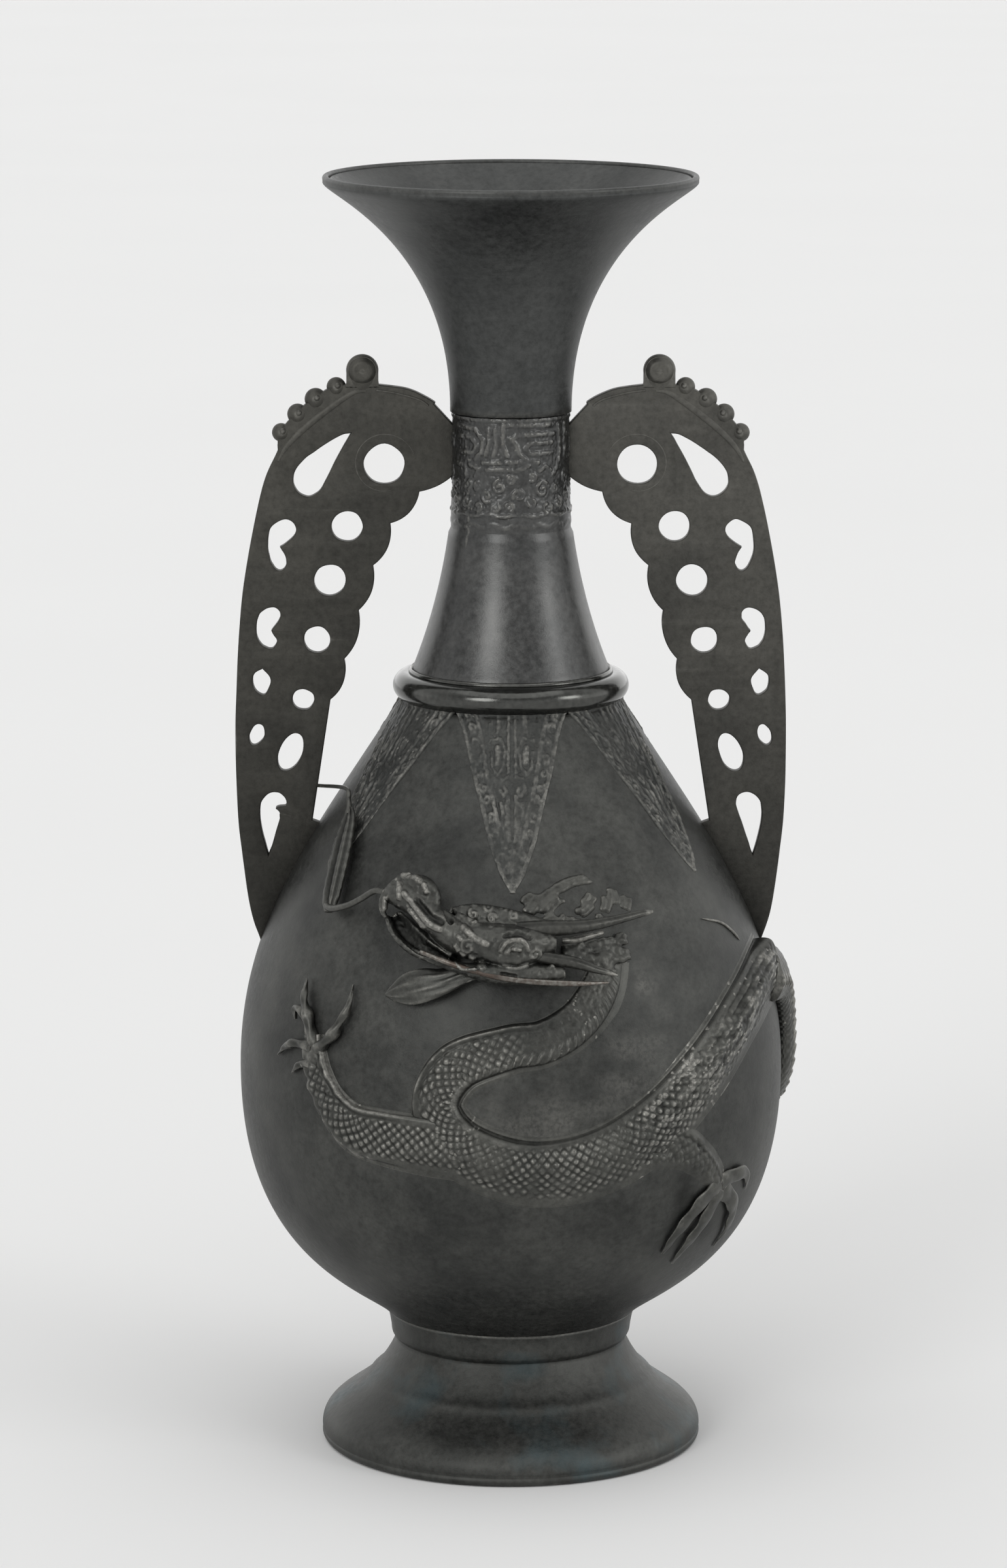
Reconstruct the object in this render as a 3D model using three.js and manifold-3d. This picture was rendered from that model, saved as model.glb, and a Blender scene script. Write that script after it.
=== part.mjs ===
// A bronze flower vase with a dragon in relief and two pierced handles.
// Millimetres, +Z up. The origin is the centre of the foot's underside and the front faces -Y.
// A place on the pear-shaped body is an angle from the front towards +X, in degrees, and a level
// above or below the widest height, in mm.
import * as THREE from "three";
import { mergeVertices } from "three/addons/utils/BufferGeometryUtils.js";
import Module from "manifold-3d";

const wasm = await Module();
wasm.setup();

// Fits and facets
const fit = 0.3;
const turns = 32;
const pinSides = 8;

// Foot: a rolled hem, a spreading flare and a collar under the body
const footRadius = 53.85;
const hemHeight = 2.7;
const hemInset = 1.25;
const rimWidth = 3.1;
const flareHeight = 26.6;
const waistRadius = 32.6;
const collarHeight = 9.2;
const collarRadius = 34.4;
const footWall = 2.8;
const socketWall = 1.3;

// Base plate, soldered up against a ledge inside the foot
const plateRecess = 3.2;
const plateThickness = 2.5;
const ledgeWidth = 3;
const ledgeThickness = 2.5;

// Body: a pear, widest low down
const bodyBottomRadius = 36;
const bellyRadius = 76.5;
const bellyRise = 70.5;
const shoulderRise = 104.5;
const shoulderRadius = 31;
const bodyWall = 2.5;
const spigotWall = 2.5;
const spigotLength = 5;
const socketDepth = 6.3;
const neckLedgeThickness = 2.2;

// Neck: a concave taper and a chased band round its top
const neckFootRadius = 27.6;
const neckFootRise = 8.5;
const neckTaperRise = 54;
const neckRadius = 16.1;
const neckStraight = 18.2;
const neckWall = 2.5;
const bandHeight = 27.7;
const bandRelief = 0.5;
const bandFootFlare = 0.2;
const tenonLength = 6;
const tenonWall = 1.4;

// Shoulder ring over the joint of body and neck
const ringSection = 3.8;
const ringOverhang = 1.6;
const ringRadius = neckFootRadius + ringOverhang;

// Trumpet mouth
const trumpetFootRadius = 16.9;
const trumpetHeight = 63.7;
const mouthRadius = 51.8;
const trumpetWall = 2.4;
const lipHeight = 1.8;
const lipWidth = 1.5;
const lipEdge = 0.6;

// Curves of the turned parts: where each leaves its start and where it arrives at its end, as
// shares of the way across and up.
const flareCurve = [[0, 0.36], [0.67, 0.316]];
const lowerBodyCurve = [[0.213, 0.13], [1, 0.227]];
const upperBodyCurve = [[0, 0.394], [0.487, 0.643]];
const neckCurve = [[1, 0.525], [1, 1]];
const trumpetCurve = [[0, 0.765], [1.037, 0.956]];

// Handles: flat pierced plates between the neck band and the shoulder of the body
const handleThickness = 3.6;
const handleDrop = 10.5;
const handleTipLevel = 34.7;
const handleHeelLevel = 70;
const handleHeelWidth = 2;
const handleGap = 0.45;
const seatHalf = 7;
const seatScallopDepth = 0.8;
const scallopDepth = 1.9;
const beanCusp = 0.4;
const beanBack = 0.7;
const crestRelief = 0.7;
const crestWidth = 2.6;
const knobRadius = 4.5;
const knobRelief = 0.6;
const curlRadius = 2.7;
const curlRelief = 0.3;

// Headed pins that hold the handles and the dragon's head from inside
const pinRadius = 0.9;
const pinHeadRadius = 2.4;
const pinHeadHeight = 1.3;
const pinHeadGap = 0.6;
const pinReach = 3.2;
const headPinReach = 6;
const upperPinLevel = 66;
const lowerPinLevel = 46;

// Heights of the joints above the table
const footTop = hemHeight + flareHeight + collarHeight;
const bellyHeight = footTop + bellyRise;
const bodyTop = bellyHeight + shoulderRise;
const neckTop = bodyTop + neckFootRise + neckTaperRise + neckStraight;
const handleTop = neckTop - handleDrop;

const bronze = new THREE.MeshStandardMaterial({ color: 0x3a3b39, roughness: 0.5, metalness: 0.85 });
const polishedBronze = new THREE.MeshStandardMaterial({ color: 0x30312f, roughness: 0.3, metalness: 0.9 });
const coppery = new THREE.MeshStandardMaterial({ color: 0x5e4334, roughness: 0.45, metalness: 0.9 });

// Solids and meshes

function solid(geometry) {
  geometry.deleteAttribute("normal");
  geometry.deleteAttribute("uv");
  const merged = mergeVertices(geometry, 1e-4);
  const mesh = new wasm.Mesh({
    numProp: 3,
    vertProperties: merged.getAttribute("position").array,
    triVerts: Uint32Array.from(merged.index.array),
  });
  return new wasm.Manifold(mesh);
}

function geometryOf(made) {
  const mesh = made.getMesh();
  const geometry = new THREE.BufferGeometry();
  geometry.setAttribute("position", new THREE.BufferAttribute(mesh.vertProperties, 3));
  geometry.setIndex(new THREE.BufferAttribute(mesh.triVerts, 1));
  geometry.computeVertexNormals();
  return geometry;
}

function piece(name, made, material = bronze) {
  const mesh = new THREE.Mesh(geometryOf(made), material);
  mesh.name = name;
  return mesh;
}

function joined(solids) {
  return solids.reduce((whole, next) => whole.add(next));
}

function without(made, ...cutters) {
  return cutters.reduce((left, cutter) => left.subtract(cutter), made);
}

// A boolean cut can leave crumbs: only the largest body is the piece.
function largest(made) {
  const bodies = made.decompose();
  return bodies.reduce((best, next) => (next.volume() > best.volume() ? next : best));
}

// Turned work

// A curved outline from one radius and height to another.
function outline(from, to, [leave, arrive], steps) {
  const start = new THREE.Vector2(...from);
  const end = new THREE.Vector2(...to);
  const way = end.clone().sub(start);
  const [first, second] = [leave, arrive].map(([r, z]) => new THREE.Vector2(r, z).multiply(way).add(start));
  return new THREE.CubicBezierCurve(start, first, second, end).getPoints(steps).map((p) => [p.x, p.y]);
}

// An upward profile moved towards the axis, square to itself, by a wall.
function inset(profile, wall) {
  return profile.map(([r, z], i) => {
    const [r0, z0] = profile[Math.max(i - 1, 0)];
    const [r1, z1] = profile[Math.min(i + 1, profile.length - 1)];
    const length = Math.hypot(r1 - r0, z1 - z0);
    return [r - (wall * (z1 - z0)) / length, z + (wall * (r1 - r0)) / length];
  });
}

// A profile that runs up the outside and down the inside, turned about the Z axis.
function turned(profile) {
  const closed = profile[0][0] === 0 ? profile : [...profile, profile[0]];
  const geometry = new THREE.LatheGeometry(closed.map(([r, z]) => new THREE.Vector2(r, z)), turns);
  return solid(geometry.rotateX(Math.PI / 2));
}

function footOutline(steps) {
  return outline([footRadius, hemHeight], [waistRadius, hemHeight + flareHeight], flareCurve, steps);
}

function bodyOutline(lowerSteps, upperSteps) {
  const belly = [bellyRadius, bellyHeight];
  const lower = outline([bodyBottomRadius, footTop], belly, lowerBodyCurve, lowerSteps);
  const upper = outline(belly, [shoulderRadius, bodyTop], upperBodyCurve, upperSteps);
  return [...lower, ...upper.slice(1)];
}

function neckOutline(steps) {
  const foot = bodyTop + neckFootRise;
  return outline([neckFootRadius, foot], [neckRadius, foot + neckTaperRise], neckCurve, steps);
}

function trumpetOutline(steps) {
  const foot = neckTop + fit;
  return outline([trumpetFootRadius, foot], [mouthRadius, foot + trumpetHeight], trumpetCurve, steps);
}

const spigotRadius = collarRadius - spigotWall - socketWall;
const boreRadius = neckFootRadius - neckWall;
const seatRadius = neckRadius + bandRelief + fit;

function footSolid() {
  const flare = footOutline(6);
  const socketFloor = footTop - fit - spigotLength - fit;
  const ledgeRadius = footRadius - hemInset - rimWidth - ledgeWidth;
  const ledgeFoot = plateRecess + plateThickness + fit;
  const ledgeTop = ledgeFoot + ledgeThickness;
  const inside = inset(flare, footWall).filter(([, z]) => z > ledgeTop + 1 && z < socketFloor - 1);
  return turned([
    [footRadius - hemInset, 0],
    ...flare,
    [collarRadius, footTop - fit],
    [spigotRadius + fit, footTop - fit],
    [spigotRadius + fit, socketFloor],
    [waistRadius - footWall, socketFloor],
    ...inside.reverse(),
    [ledgeRadius, ledgeTop],
    [ledgeRadius, ledgeFoot],
    [ledgeRadius + ledgeWidth, ledgeFoot],
    [ledgeRadius + ledgeWidth, 0],
  ]);
}

function basePlateSolid() {
  const radius = footRadius - hemInset - rimWidth - fit;
  return turned([
    [0, plateRecess],
    [radius, plateRecess],
    [radius, plateRecess + plateThickness],
    [0, plateRecess + plateThickness],
  ]);
}

function bodySolid() {
  const outside = bodyOutline(7, 7);
  const floor = footTop + bodyWall;
  const ledge = bodyTop - socketDepth - neckLedgeThickness;
  const inside = inset(outside, bodyWall).filter(([, z]) => z > floor + 0.5 && z < ledge - 0.5);
  return turned([
    ...outside,
    [neckFootRadius + fit, bodyTop],
    [neckFootRadius + fit, bodyTop - socketDepth],
    [boreRadius, bodyTop - socketDepth],
    [boreRadius, ledge],
    ...inside.reverse(),
    [spigotRadius - spigotWall, floor],
    [spigotRadius - spigotWall, footTop - spigotLength],
    [spigotRadius, footTop - spigotLength],
    [spigotRadius, footTop],
  ]);
}

function ringSolid() {
  const bore = neckFootRadius + fit;
  const height = bodyTop + fit + ringSection;
  const open = Math.acos((bore - ringRadius) / ringSection);
  const steps = 8;
  const arc = Array.from({ length: steps + 1 }, (_, i) => {
    const a = open * ((2 * i) / steps - 1);
    return [ringRadius + ringSection * Math.cos(a), height + ringSection * Math.sin(a)];
  });
  return turned(arc);
}

function neckSolid() {
  const taper = neckOutline(6);
  const bandFoot = neckTop - bandHeight;
  const plain = taper.filter(([, z]) => z < bandFoot - 1);
  const banded = taper.filter(([, z]) => z > bandFoot + 1);
  const bandFootRadius = neckRadius + bandFootFlare;
  const tenonRadius = neckRadius - neckWall + tenonWall;
  return turned([
    [neckFootRadius, bodyTop - socketDepth + fit],
    ...plain,
    [bandFootRadius, bandFoot],
    [bandFootRadius + bandRelief, bandFoot],
    ...banded.map(([r, z]) => [r + bandRelief, z]),
    [neckRadius + bandRelief, neckTop],
    [tenonRadius, neckTop],
    [tenonRadius, neckTop + tenonLength],
    [tenonRadius - tenonWall, neckTop + tenonLength],
    ...inset(taper, neckWall).reverse(),
    [boreRadius, bodyTop - socketDepth + fit],
  ]);
}

function trumpetSolid() {
  const outside = trumpetOutline(7);
  const foot = outside[0][1];
  const rim = foot + trumpetHeight + lipHeight;
  const socketRadius = neckRadius - neckWall + tenonWall + fit;
  const socketTop = neckTop + tenonLength + fit;
  const inside = inset(outside, trumpetWall).filter(([, z]) => z > socketTop + 1);
  return turned([
    ...outside,
    [mouthRadius, rim - lipEdge],
    [mouthRadius - lipEdge, rim],
    [mouthRadius - lipWidth, rim],
    ...inside.reverse(),
    [trumpetFootRadius - trumpetWall, socketTop],
    [socketRadius, socketTop],
    [socketRadius, foot],
  ]);
}

// Places on the body

const skin = bodyOutline(60, 60);

function radiusAt(height) {
  const next = skin.findIndex(([, z]) => z > height);
  if (next <= 0) return next === 0 ? skin[0][0] : skin.at(-1)[0];
  const [r0, z0] = skin[next - 1];
  const [r1, z1] = skin[next];
  return r0 + ((r1 - r0) * (height - z0)) / (z1 - z0);
}

// The outward direction of the body's wall at a height, as radial and vertical shares.
function facing(height) {
  const slope = radiusAt(height + 0.5) - radiusAt(height - 0.5);
  const length = Math.hypot(1, slope);
  return [1 / length, -slope / length];
}

function around(angle, radius, height) {
  const a = THREE.MathUtils.degToRad(angle);
  return new THREE.Vector3(radius * Math.sin(a), -radius * Math.cos(a), height);
}

function on(angle, level, lift = 0) {
  const height = bellyHeight + level;
  const [out, up] = facing(height);
  return around(angle, radiusAt(height) + lift * out, height + lift * up);
}

function angleOf(point) {
  return THREE.MathUtils.radToDeg(Math.atan2(point.x, -point.y));
}

function normalAt(point) {
  const [out, up] = facing(point.z);
  return around(angleOf(point), out, up);
}

// Everything inside this solid belongs to the body and the gap round it.
function bodyClearance() {
  const grown = inset(bodyOutline(7, 7), -fit);
  return turned([[0, grown[0][1]], ...grown, [0, grown.at(-1)[1]]]);
}

// Lofted work

// A closed solid through rings with the same number of points each.
function loft(rings) {
  const count = rings[0].length;
  const last = rings.length - 1;
  const points = [...rings.flat(), centreOf(rings[0]), centreOf(rings[last])];
  const faces = [];
  for (let i = 0; i < last; i += 1) {
    for (let k = 0; k < count; k += 1) {
      const next = (k + 1) % count;
      const [a, b] = [i * count + k, i * count + next];
      faces.push(a, b + count, b, a, a + count, b + count);
    }
  }
  for (let k = 0; k < count; k += 1) {
    const next = (k + 1) % count;
    faces.push(points.length - 2, k, next);
    faces.push(points.length - 1, last * count + next, last * count + k);
  }
  const geometry = new THREE.BufferGeometry().setFromPoints(points);
  geometry.setIndex(faces);
  return solid(geometry);
}

function centreOf(ring) {
  return ring.reduce((sum, p) => sum.add(p), new THREE.Vector3()).divideScalar(ring.length);
}

// Stations along a smooth route: each has a place, a forward and a sideways direction and two sizes.
// A grown copy is longer at both ends as well as wider.
function stations(places, sizes, steps, grow) {
  const route = new THREE.CatmullRomCurve3(places);
  const growth = new THREE.CatmullRomCurve3(sizes.map(([a, b]) => new THREE.Vector3(a, b, 0)));
  return Array.from({ length: steps + 1 }, (_, i) => {
    const forward = route.getTangent(i / steps);
    const stretch = (i === steps) - (i === 0);
    const place = route.getPoint(i / steps).addScaledVector(forward, grow * stretch);
    const side = forward.clone().cross(normalAt(place)).normalize();
    const size = growth.getPoint(i / steps);
    return { place, forward, side, across: size.x + grow, out: size.y + grow };
  });
}

// A tapering round or oval limb. A row is angle, level, lift of its centre, half width, half height.
function limb(rows, { steps, sides = 8, grow = 0, end = [] }) {
  const places = rows.map(([angle, level, lift]) => on(angle, level, lift)).concat(end.map(([p]) => p));
  const sizes = rows.map(([, , , a, b = a]) => [a, b]).concat(end.map(([, r]) => [r, r]));
  const rings = stations(places, sizes, steps, grow).map(({ place, forward, side, across, out }) => {
    const up = side.clone().cross(forward).normalize();
    return Array.from({ length: sides }, (_, k) => {
      const a = (2 * Math.PI * k) / sides;
      return place.clone().addScaledVector(side, across * Math.cos(a)).addScaledVector(up, out * Math.sin(a));
    });
  });
  return loft(rings);
}

// Share of the width and share of the height across a domed band of relief.
const dome = [[1, 0.15], [0.85, 0.6], [0.4, 0.94], [-0.4, 0.94], [-0.85, 0.6], [-1, 0.15]];
const underside = [-1, -0.35, 0.35, 1];

// A band that lies on the body. A row is angle, level, half width and height.
function relief(rows, { steps, grow = 0 }) {
  const places = rows.map(([angle, level]) => on(angle, level));
  const sizes = rows.map(([, , half, height]) => [half, height]);
  const foot = grow > 0 ? -1 : fit;
  const rings = stations(places, sizes, steps, grow).map(({ place, side, across, out }) => {
    const put = (share, lift) => {
      const spot = place.clone().addScaledVector(side, share * across);
      return on(angleOf(spot), spot.z - bellyHeight, lift);
    };
    return [
      ...dome.map(([share, height]) => put(share, out * height + fit)),
      ...underside.map((share) => put(share, foot)),
    ];
  });
  return loft(rings);
}

function ball(angle, level, lift, radius, grow = 0) {
  const geometry = new THREE.SphereGeometry(radius + grow, 6, 5);
  return solid(geometry.translate(...on(angle, level, lift)));
}

// Pins

// A headed pin along +Z: its head ends at -wall, its shank reaches past 0 by the reach.
function pinSolid(wall, reach) {
  const geometry = new THREE.LatheGeometry(
    [
      new THREE.Vector2(0, -wall - pinHeadHeight),
      new THREE.Vector2(0.6 * pinHeadRadius, -wall - pinHeadHeight),
      new THREE.Vector2(pinHeadRadius, -wall - 0.4 * pinHeadHeight),
      new THREE.Vector2(pinHeadRadius, -wall),
      new THREE.Vector2(pinRadius, -wall),
      new THREE.Vector2(pinRadius, reach),
      new THREE.Vector2(0, reach),
    ],
    pinSides,
  );
  return solid(geometry.rotateX(Math.PI / 2));
}

// A plain hole for a shank, with the fit all round.
function pinHole(wall, reach) {
  const length = 2 * wall + reach + fit;
  const radius = pinRadius + fit;
  const geometry = new THREE.CylinderGeometry(radius, radius, length, pinSides);
  return solid(geometry.rotateX(Math.PI / 2).translate(0, 0, length / 2 - 2 * wall));
}

function aimed(made, place, direction) {
  const turn = new THREE.Quaternion().setFromUnitVectors(new THREE.Vector3(0, 0, 1), direction);
  const matrix = new THREE.Matrix4().compose(place, turn, new THREE.Vector3(1, 1, 1));
  return made.transform(matrix.elements);
}

function wallPin(holds, spot, angle, level, reach) {
  const place = on(angle, level);
  return { name: `${holds}_${spot}_rivet`, holds, place, direction: normalAt(place), wall: bodyWall, reach };
}

function neckPin(holds, angle) {
  const place = around(angle, seatRadius - fit, handleTop);
  const wall = neckWall + bandRelief;
  return { name: `${holds}_neck_rivet`, holds, place, direction: around(angle, 1, 0), wall, reach: pinReach };
}

function handlePins(handle, angle) {
  return [
    neckPin(handle, angle),
    wallPin(handle, "upper", angle, upperPinLevel, pinReach),
    wallPin(handle, "lower", angle, lowerPinLevel, pinReach),
  ];
}

const pins = [
  ...handlePins("right_handle", 90),
  ...handlePins("left_handle", -90),
  wallPin("dragon_head", "front", -19, 52.4, headPinReach),
  wallPin("dragon_head", "back", 1, 47.6, headPinReach),
];

function holesFor(chosen) {
  return chosen.map((pin) => aimed(pinHole(pin.wall, pin.reach), pin.place, pin.direction));
}

function holesIn(name) {
  return holesFor(pins.filter((pin) => pin.holds === name));
}

// Handles

const tipHeight = bellyHeight + handleTipLevel;
const handleStart = new THREE.Vector2(seatRadius, handleTop);
const handleEnd = new THREE.Vector2(radiusAt(tipHeight) + fit, tipHeight);

// A point of the handle: its share of the way from the neck to the tip, and how far out in mm.
function plot([along, out]) {
  const way = handleEnd.clone().sub(handleStart);
  const across = new THREE.Vector2(-way.y, way.x).normalize();
  return handleStart.clone().addScaledVector(way, along).addScaledVector(across, out);
}

const scallops = [[0.093, 3.7], [0.168, 8.1], [0.253, 8.3], [0.342, 7.6], [0.437, 6.4], [0.518, 5.9]];
const outerEdge = [
  [0.946, 5.5],
  [0.858, 12.9],
  [0.768, 19.6],
  [0.6, 29.6],
  [0.394, 39.3],
  [0.2, 44.7],
  [0.115, 44.6],
];
const curls = [[0.079, 44.6], [0.039, 42.9], [0.002, 39.6], [-0.033, 35.4]];
const knob = [-0.081, 30.8];
const knobFoot = [-0.06, 31];
const crest = [[-0.068, 24.9], [-0.077, 19.3], [-0.079, 12.7]];
const crestStep = [[-0.068, 9.2], [-0.066, 8.2]];

const roundHoles = [
  { at: [0.0685, 15.6], radius: 5.6 },
  { at: [0.202, 19], radius: 4.3 },
  { at: [0.308, 18.1], radius: 4.4 },
  { at: [0.421, 15.4], radius: 3.7 },
  { at: [0.536, 13], radius: 3 },
  { at: [0.6375, 11], radius: 3.1, long: 5.6 },
  { at: [0.532, 25.7], radius: 2.1, long: 3.3 },
  { at: [0.629, 21.5], radius: 1.9, long: 3.1 },
];
const dropHoles = [
  { tip: [0.036, 27.4], end: [0.147, 33.6], radius: 4.1 },
  { tip: [0.83, 6.6], end: [0.74, 10.4], radius: 3.1 },
];
const beanHoles = [
  { top: [0.249, 35.5], topRadius: 2.9, foot: [0.3075, 33.9], footRadius: 2.4 },
  { top: [0.4045, 30.5], topRadius: 2.4, foot: [0.449, 29.1], footRadius: 2.1 },
];

function arc(centre, radius, from, to, steps, long = radius) {
  const way = handleEnd.clone().sub(handleStart).normalize();
  const across = new THREE.Vector2(-way.y, way.x);
  return Array.from({ length: steps + 1 }, (_, i) => {
    const a = from + ((to - from) * i) / steps;
    const point = centre.clone().addScaledVector(across, radius * Math.cos(a));
    return point.addScaledVector(way, long * Math.sin(a));
  });
}

function roundHole({ at, radius, long = radius }) {
  return arc(plot(at), radius, 0, 2 * Math.PI, radius > 4 ? 14 : 10, long).slice(1);
}

function dropHole({ tip, end, radius }) {
  const point = plot(tip);
  const centre = plot(end);
  const towards = point.clone().sub(centre);
  const half = Math.acos(radius / towards.length());
  const start = towards.angle() + half;
  const round = Array.from({ length: 8 }, (_, i) => {
    const a = start + ((2 * Math.PI - 2 * half) * i) / 7;
    return centre.clone().add(new THREE.Vector2(Math.cos(a), Math.sin(a)).multiplyScalar(radius));
  });
  return [point, ...round];
}

// Two round lobes with a cusp between them on the side of the axis, and a full back.
function beanHole({ top, topRadius, foot, footRadius }) {
  const along = (top[0] + foot[0]) / 2;
  const middle = (top[1] + foot[1]) / 2;
  return [
    ...arc(plot(foot), footRadius, 0, Math.PI, 5),
    plot([along, middle - beanCusp]),
    ...arc(plot(top), topRadius, Math.PI, 2 * Math.PI, 5),
    plot([along, middle + (topRadius + footRadius) / 2 + beanBack]),
  ];
}

// The blunt end of the scalloped edge, over the body's shoulder.
function heelPoint() {
  const height = bellyHeight + handleHeelLevel;
  return [radiusAt(height) + handleGap + handleHeelWidth, height];
}

function handleShape() {
  const shape = new THREE.Shape();
  const seatFoot = handleTop - seatHalf;
  shape.moveTo(seatRadius, seatFoot);
  for (const [i, cusp] of scallops.entries()) {
    const depth = i === 0 ? seatScallopDepth : scallopDepth;
    const end = plot(cusp);
    const middle = shape.currentPoint.clone().add(end).divideScalar(2);
    const side = end.clone().sub(shape.currentPoint).normalize();
    middle.add(new THREE.Vector2(side.y, -side.x).multiplyScalar(2 * depth));
    shape.quadraticCurveTo(middle.x, middle.y, end.x, end.y);
  }
  shape.lineTo(...heelPoint());
  for (let i = 1; i <= 6; i += 1) {
    const height = bellyHeight + THREE.MathUtils.lerp(handleHeelLevel, handleTipLevel, i / 6);
    shape.lineTo(radiusAt(height) + handleGap, height);
  }
  shape.splineThru(outerEdge.map(plot));
  [...curls, ...crest, ...crestStep].map(plot).forEach((p) => shape.lineTo(p.x, p.y));
  shape.lineTo(seatRadius, handleTop + seatHalf);
  shape.holes = [
    ...roundHoles.map(roundHole),
    ...dropHoles.map(dropHole),
    ...beanHoles.map(beanHole),
  ].map((points) => new THREE.Path(points));
  return shape;
}

// A shape drawn across and up, made into a plate in the XZ plane, centred on it.
function plate(shape, thickness) {
  const options = { depth: thickness, bevelEnabled: false, curveSegments: 3 };
  const geometry = new THREE.ExtrudeGeometry(shape, options);
  return solid(geometry.translate(0, 0, -thickness / 2).rotateX(Math.PI / 2));
}

function crestStrip() {
  const rise = [outerEdge.at(-1), ...curls, knobFoot, ...crest, crestStep[0]];
  const line = new THREE.SplineCurve(rise.map(plot));
  const upper = line.getPoints(14);
  const lower = upper.map((p, i) => {
    const side = line.getTangent(i / 14);
    return p.clone().add(new THREE.Vector2(-side.y, side.x).multiplyScalar(crestWidth));
  });
  return plate(new THREE.Shape([...upper, ...lower.reverse()]), handleThickness + 2 * crestRelief);
}

function knobSolid(at, radius, thickness, sides = 6) {
  const centre = plot(at);
  const geometry = new THREE.SphereGeometry(radius, sides, sides - 2).scale(1, thickness / radius, 1);
  return solid(geometry.translate(centre.x, 0, centre.y));
}

function handleSolid() {
  const half = handleThickness / 2 + crestRelief;
  const whole = joined([
    plate(handleShape(), handleThickness),
    crestStrip(),
    knobSolid(knob, knobRadius, half + knobRelief, 8),
    ...curls.map((at) => knobSolid(at, curlRadius, half + curlRelief)),
  ]);
  return largest(without(whole, ...holesIn("right_handle")));
}

// Dragon

const neckAndTrunk = [
  [22.5, 43.5, 3.4, 1],
  [19.5, 35.5, 4.8, 1.4],
  [14.2, 28, 5.4, 1.7],
  [7, 23, 5.6, 2],
  [-1, 21.4, 6, 2.2],
  [-11.5, 16, 6.6, 2.4],
  [-15.6, 5, 6.6, 2.6],
  [-10.5, -6.5, 8, 2.7],
  [2.5, -13.4, 9, 2.8],
  [16.5, -12.2, 9.4, 3],
  [30, -4.5, 9.6, 3.3],
  [43.5, 8.3, 9, 3.8],
  [57, 20.3, 8.6, 4.4],
  [70, 27.3, 9, 5],
  [80, 29.5, 9.5, 5.4],
];
const coil = [
  [77, 29.5, 1.2, 8.6, 4.2],
  [88, 25.5, 1.3, 7.8, 4],
  [96, 13, 1.2, 7, 3.8],
  [100, -2, 1.2, 6.2, 3.8],
  [108, -14, 1.2, 5.4, 3.6],
  [122, -20, 1.2, 4.2, 3.2],
  [136, -15, 1.2, 3.2, 2.6],
  [146, -4, 1.1, 2.2, 2],
  [151, 8, 1, 1, 1],
];
const foreArm = [
  [-20, -4, 0.4, 7, 2.8],
  [-31, -5.2, 0.4, 7.6, 3],
  [-39.5, 0.2, 0.4, 6.6, 3],
  [-44.2, 9.5, 0.4, 5.2, 2.8],
  [-45.8, 17, 0.4, 4, 2.6],
  [-46.4, 22.5, 0.6, 2.6, 2.2],
];
const foreClaws = [
  [[-45, 19, 1, 1.9], [-40.5, 25, 1.8, 1.6], [-37.3, 33, 1.2, 0.5]],
  [[-46.5, 20, 1, 1.9], [-48.4, 27, 2, 1.6], [-50.2, 33, 1.2, 0.5]],
  [[-46.5, 19, 1, 1.8], [-52.5, 23.5, 1.9, 1.5], [-57.6, 21.5, 1.2, 0.5]],
  [[-46, 16, 1, 1.8], [-51.5, 15.5, 1.9, 1.5], [-56.4, 11.5, 1.2, 0.5]],
];
const hindShank = [
  [28, -8.5, 0.4, 6.8, 3],
  [38, -9.5, 0.4, 6.8, 3.4],
  [44.5, -15.5, 0.4, 5.4, 3.2],
  [49.5, -22, 0.4, 4.2, 3],
  [52.5, -28.5, 0.6, 2.8, 2.4],
];
const hindClaws = [
  [[51, -25, 1, 2], [43.5, -29.5, 2, 1.7], [36, -42, 1.2, 0.5]],
  [[52, -26, 1, 2], [51.5, -36, 2, 1.6], [49, -45, 1.2, 0.5]],
  [[52, -25, 1, 1.9], [58.5, -31, 2, 1.6], [60.5, -42, 1.2, 0.5]],
  [[51, -24, 1, 1.9], [58, -22.5, 2, 1.6], [64, -27, 1.2, 0.5]],
];
const skull = [
  [-30.5, 57.6, 7.4, 3.2, 4],
  [-26.5, 57.6, 7.8, 4.8, 5.4],
  [-20.5, 55.2, 7.8, 4.8, 6],
  [-13.5, 51.4, 7.6, 5.4, 6.6],
  [-4, 48.2, 6.6, 6.6, 7.4],
  [3.5, 48.2, 5.2, 6.2, 7],
  [9.5, 49.2, 3.4, 4.2, 4.6],
];
const jaw = [
  [-20, 44.8, 6.4, 1.6, 2],
  [-15, 43, 6.2, 2.4, 3],
  [-7.5, 41.8, 5.6, 3, 3.6],
  [2, 43.4, 4.6, 3.6, 4.4],
];
const headBumps = [
  [-31, 54.8, 9.4, 3.1],
  [-22, 59.4, 9.6, 2.8],
  [-8, 48.6, 12.4, 3],
  [-1.5, 51.6, 11.2, 3.4],
  [1.2, 45.6, 12.2, 2.3],
];
const upperHorn = [
  [4, 50.8, 7.4, 2.9],
  [12.8, 51.6, 8.2, 2.6],
  [21.8, 52.2, 8.2, 2],
  [33.5, 52.8, 7.4, 0.8],
];
const lowerHorn = [
  [5, 45.6, 6.6, 2.6],
  [13, 42.8, 7.2, 2.4],
  [18.6, 40.6, 7, 2],
  [24.2, 38.6, 6.2, 0.8],
];
const jawWire = [
  [-18, 43, 9.4, 0.7],
  [-9, 40, 9.4, 0.8],
  [0.5, 37.7, 8.8, 0.8],
  [10.3, 36.9, 7.6, 0.8],
  [20, 36.8, 6, 0.5],
];
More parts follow.
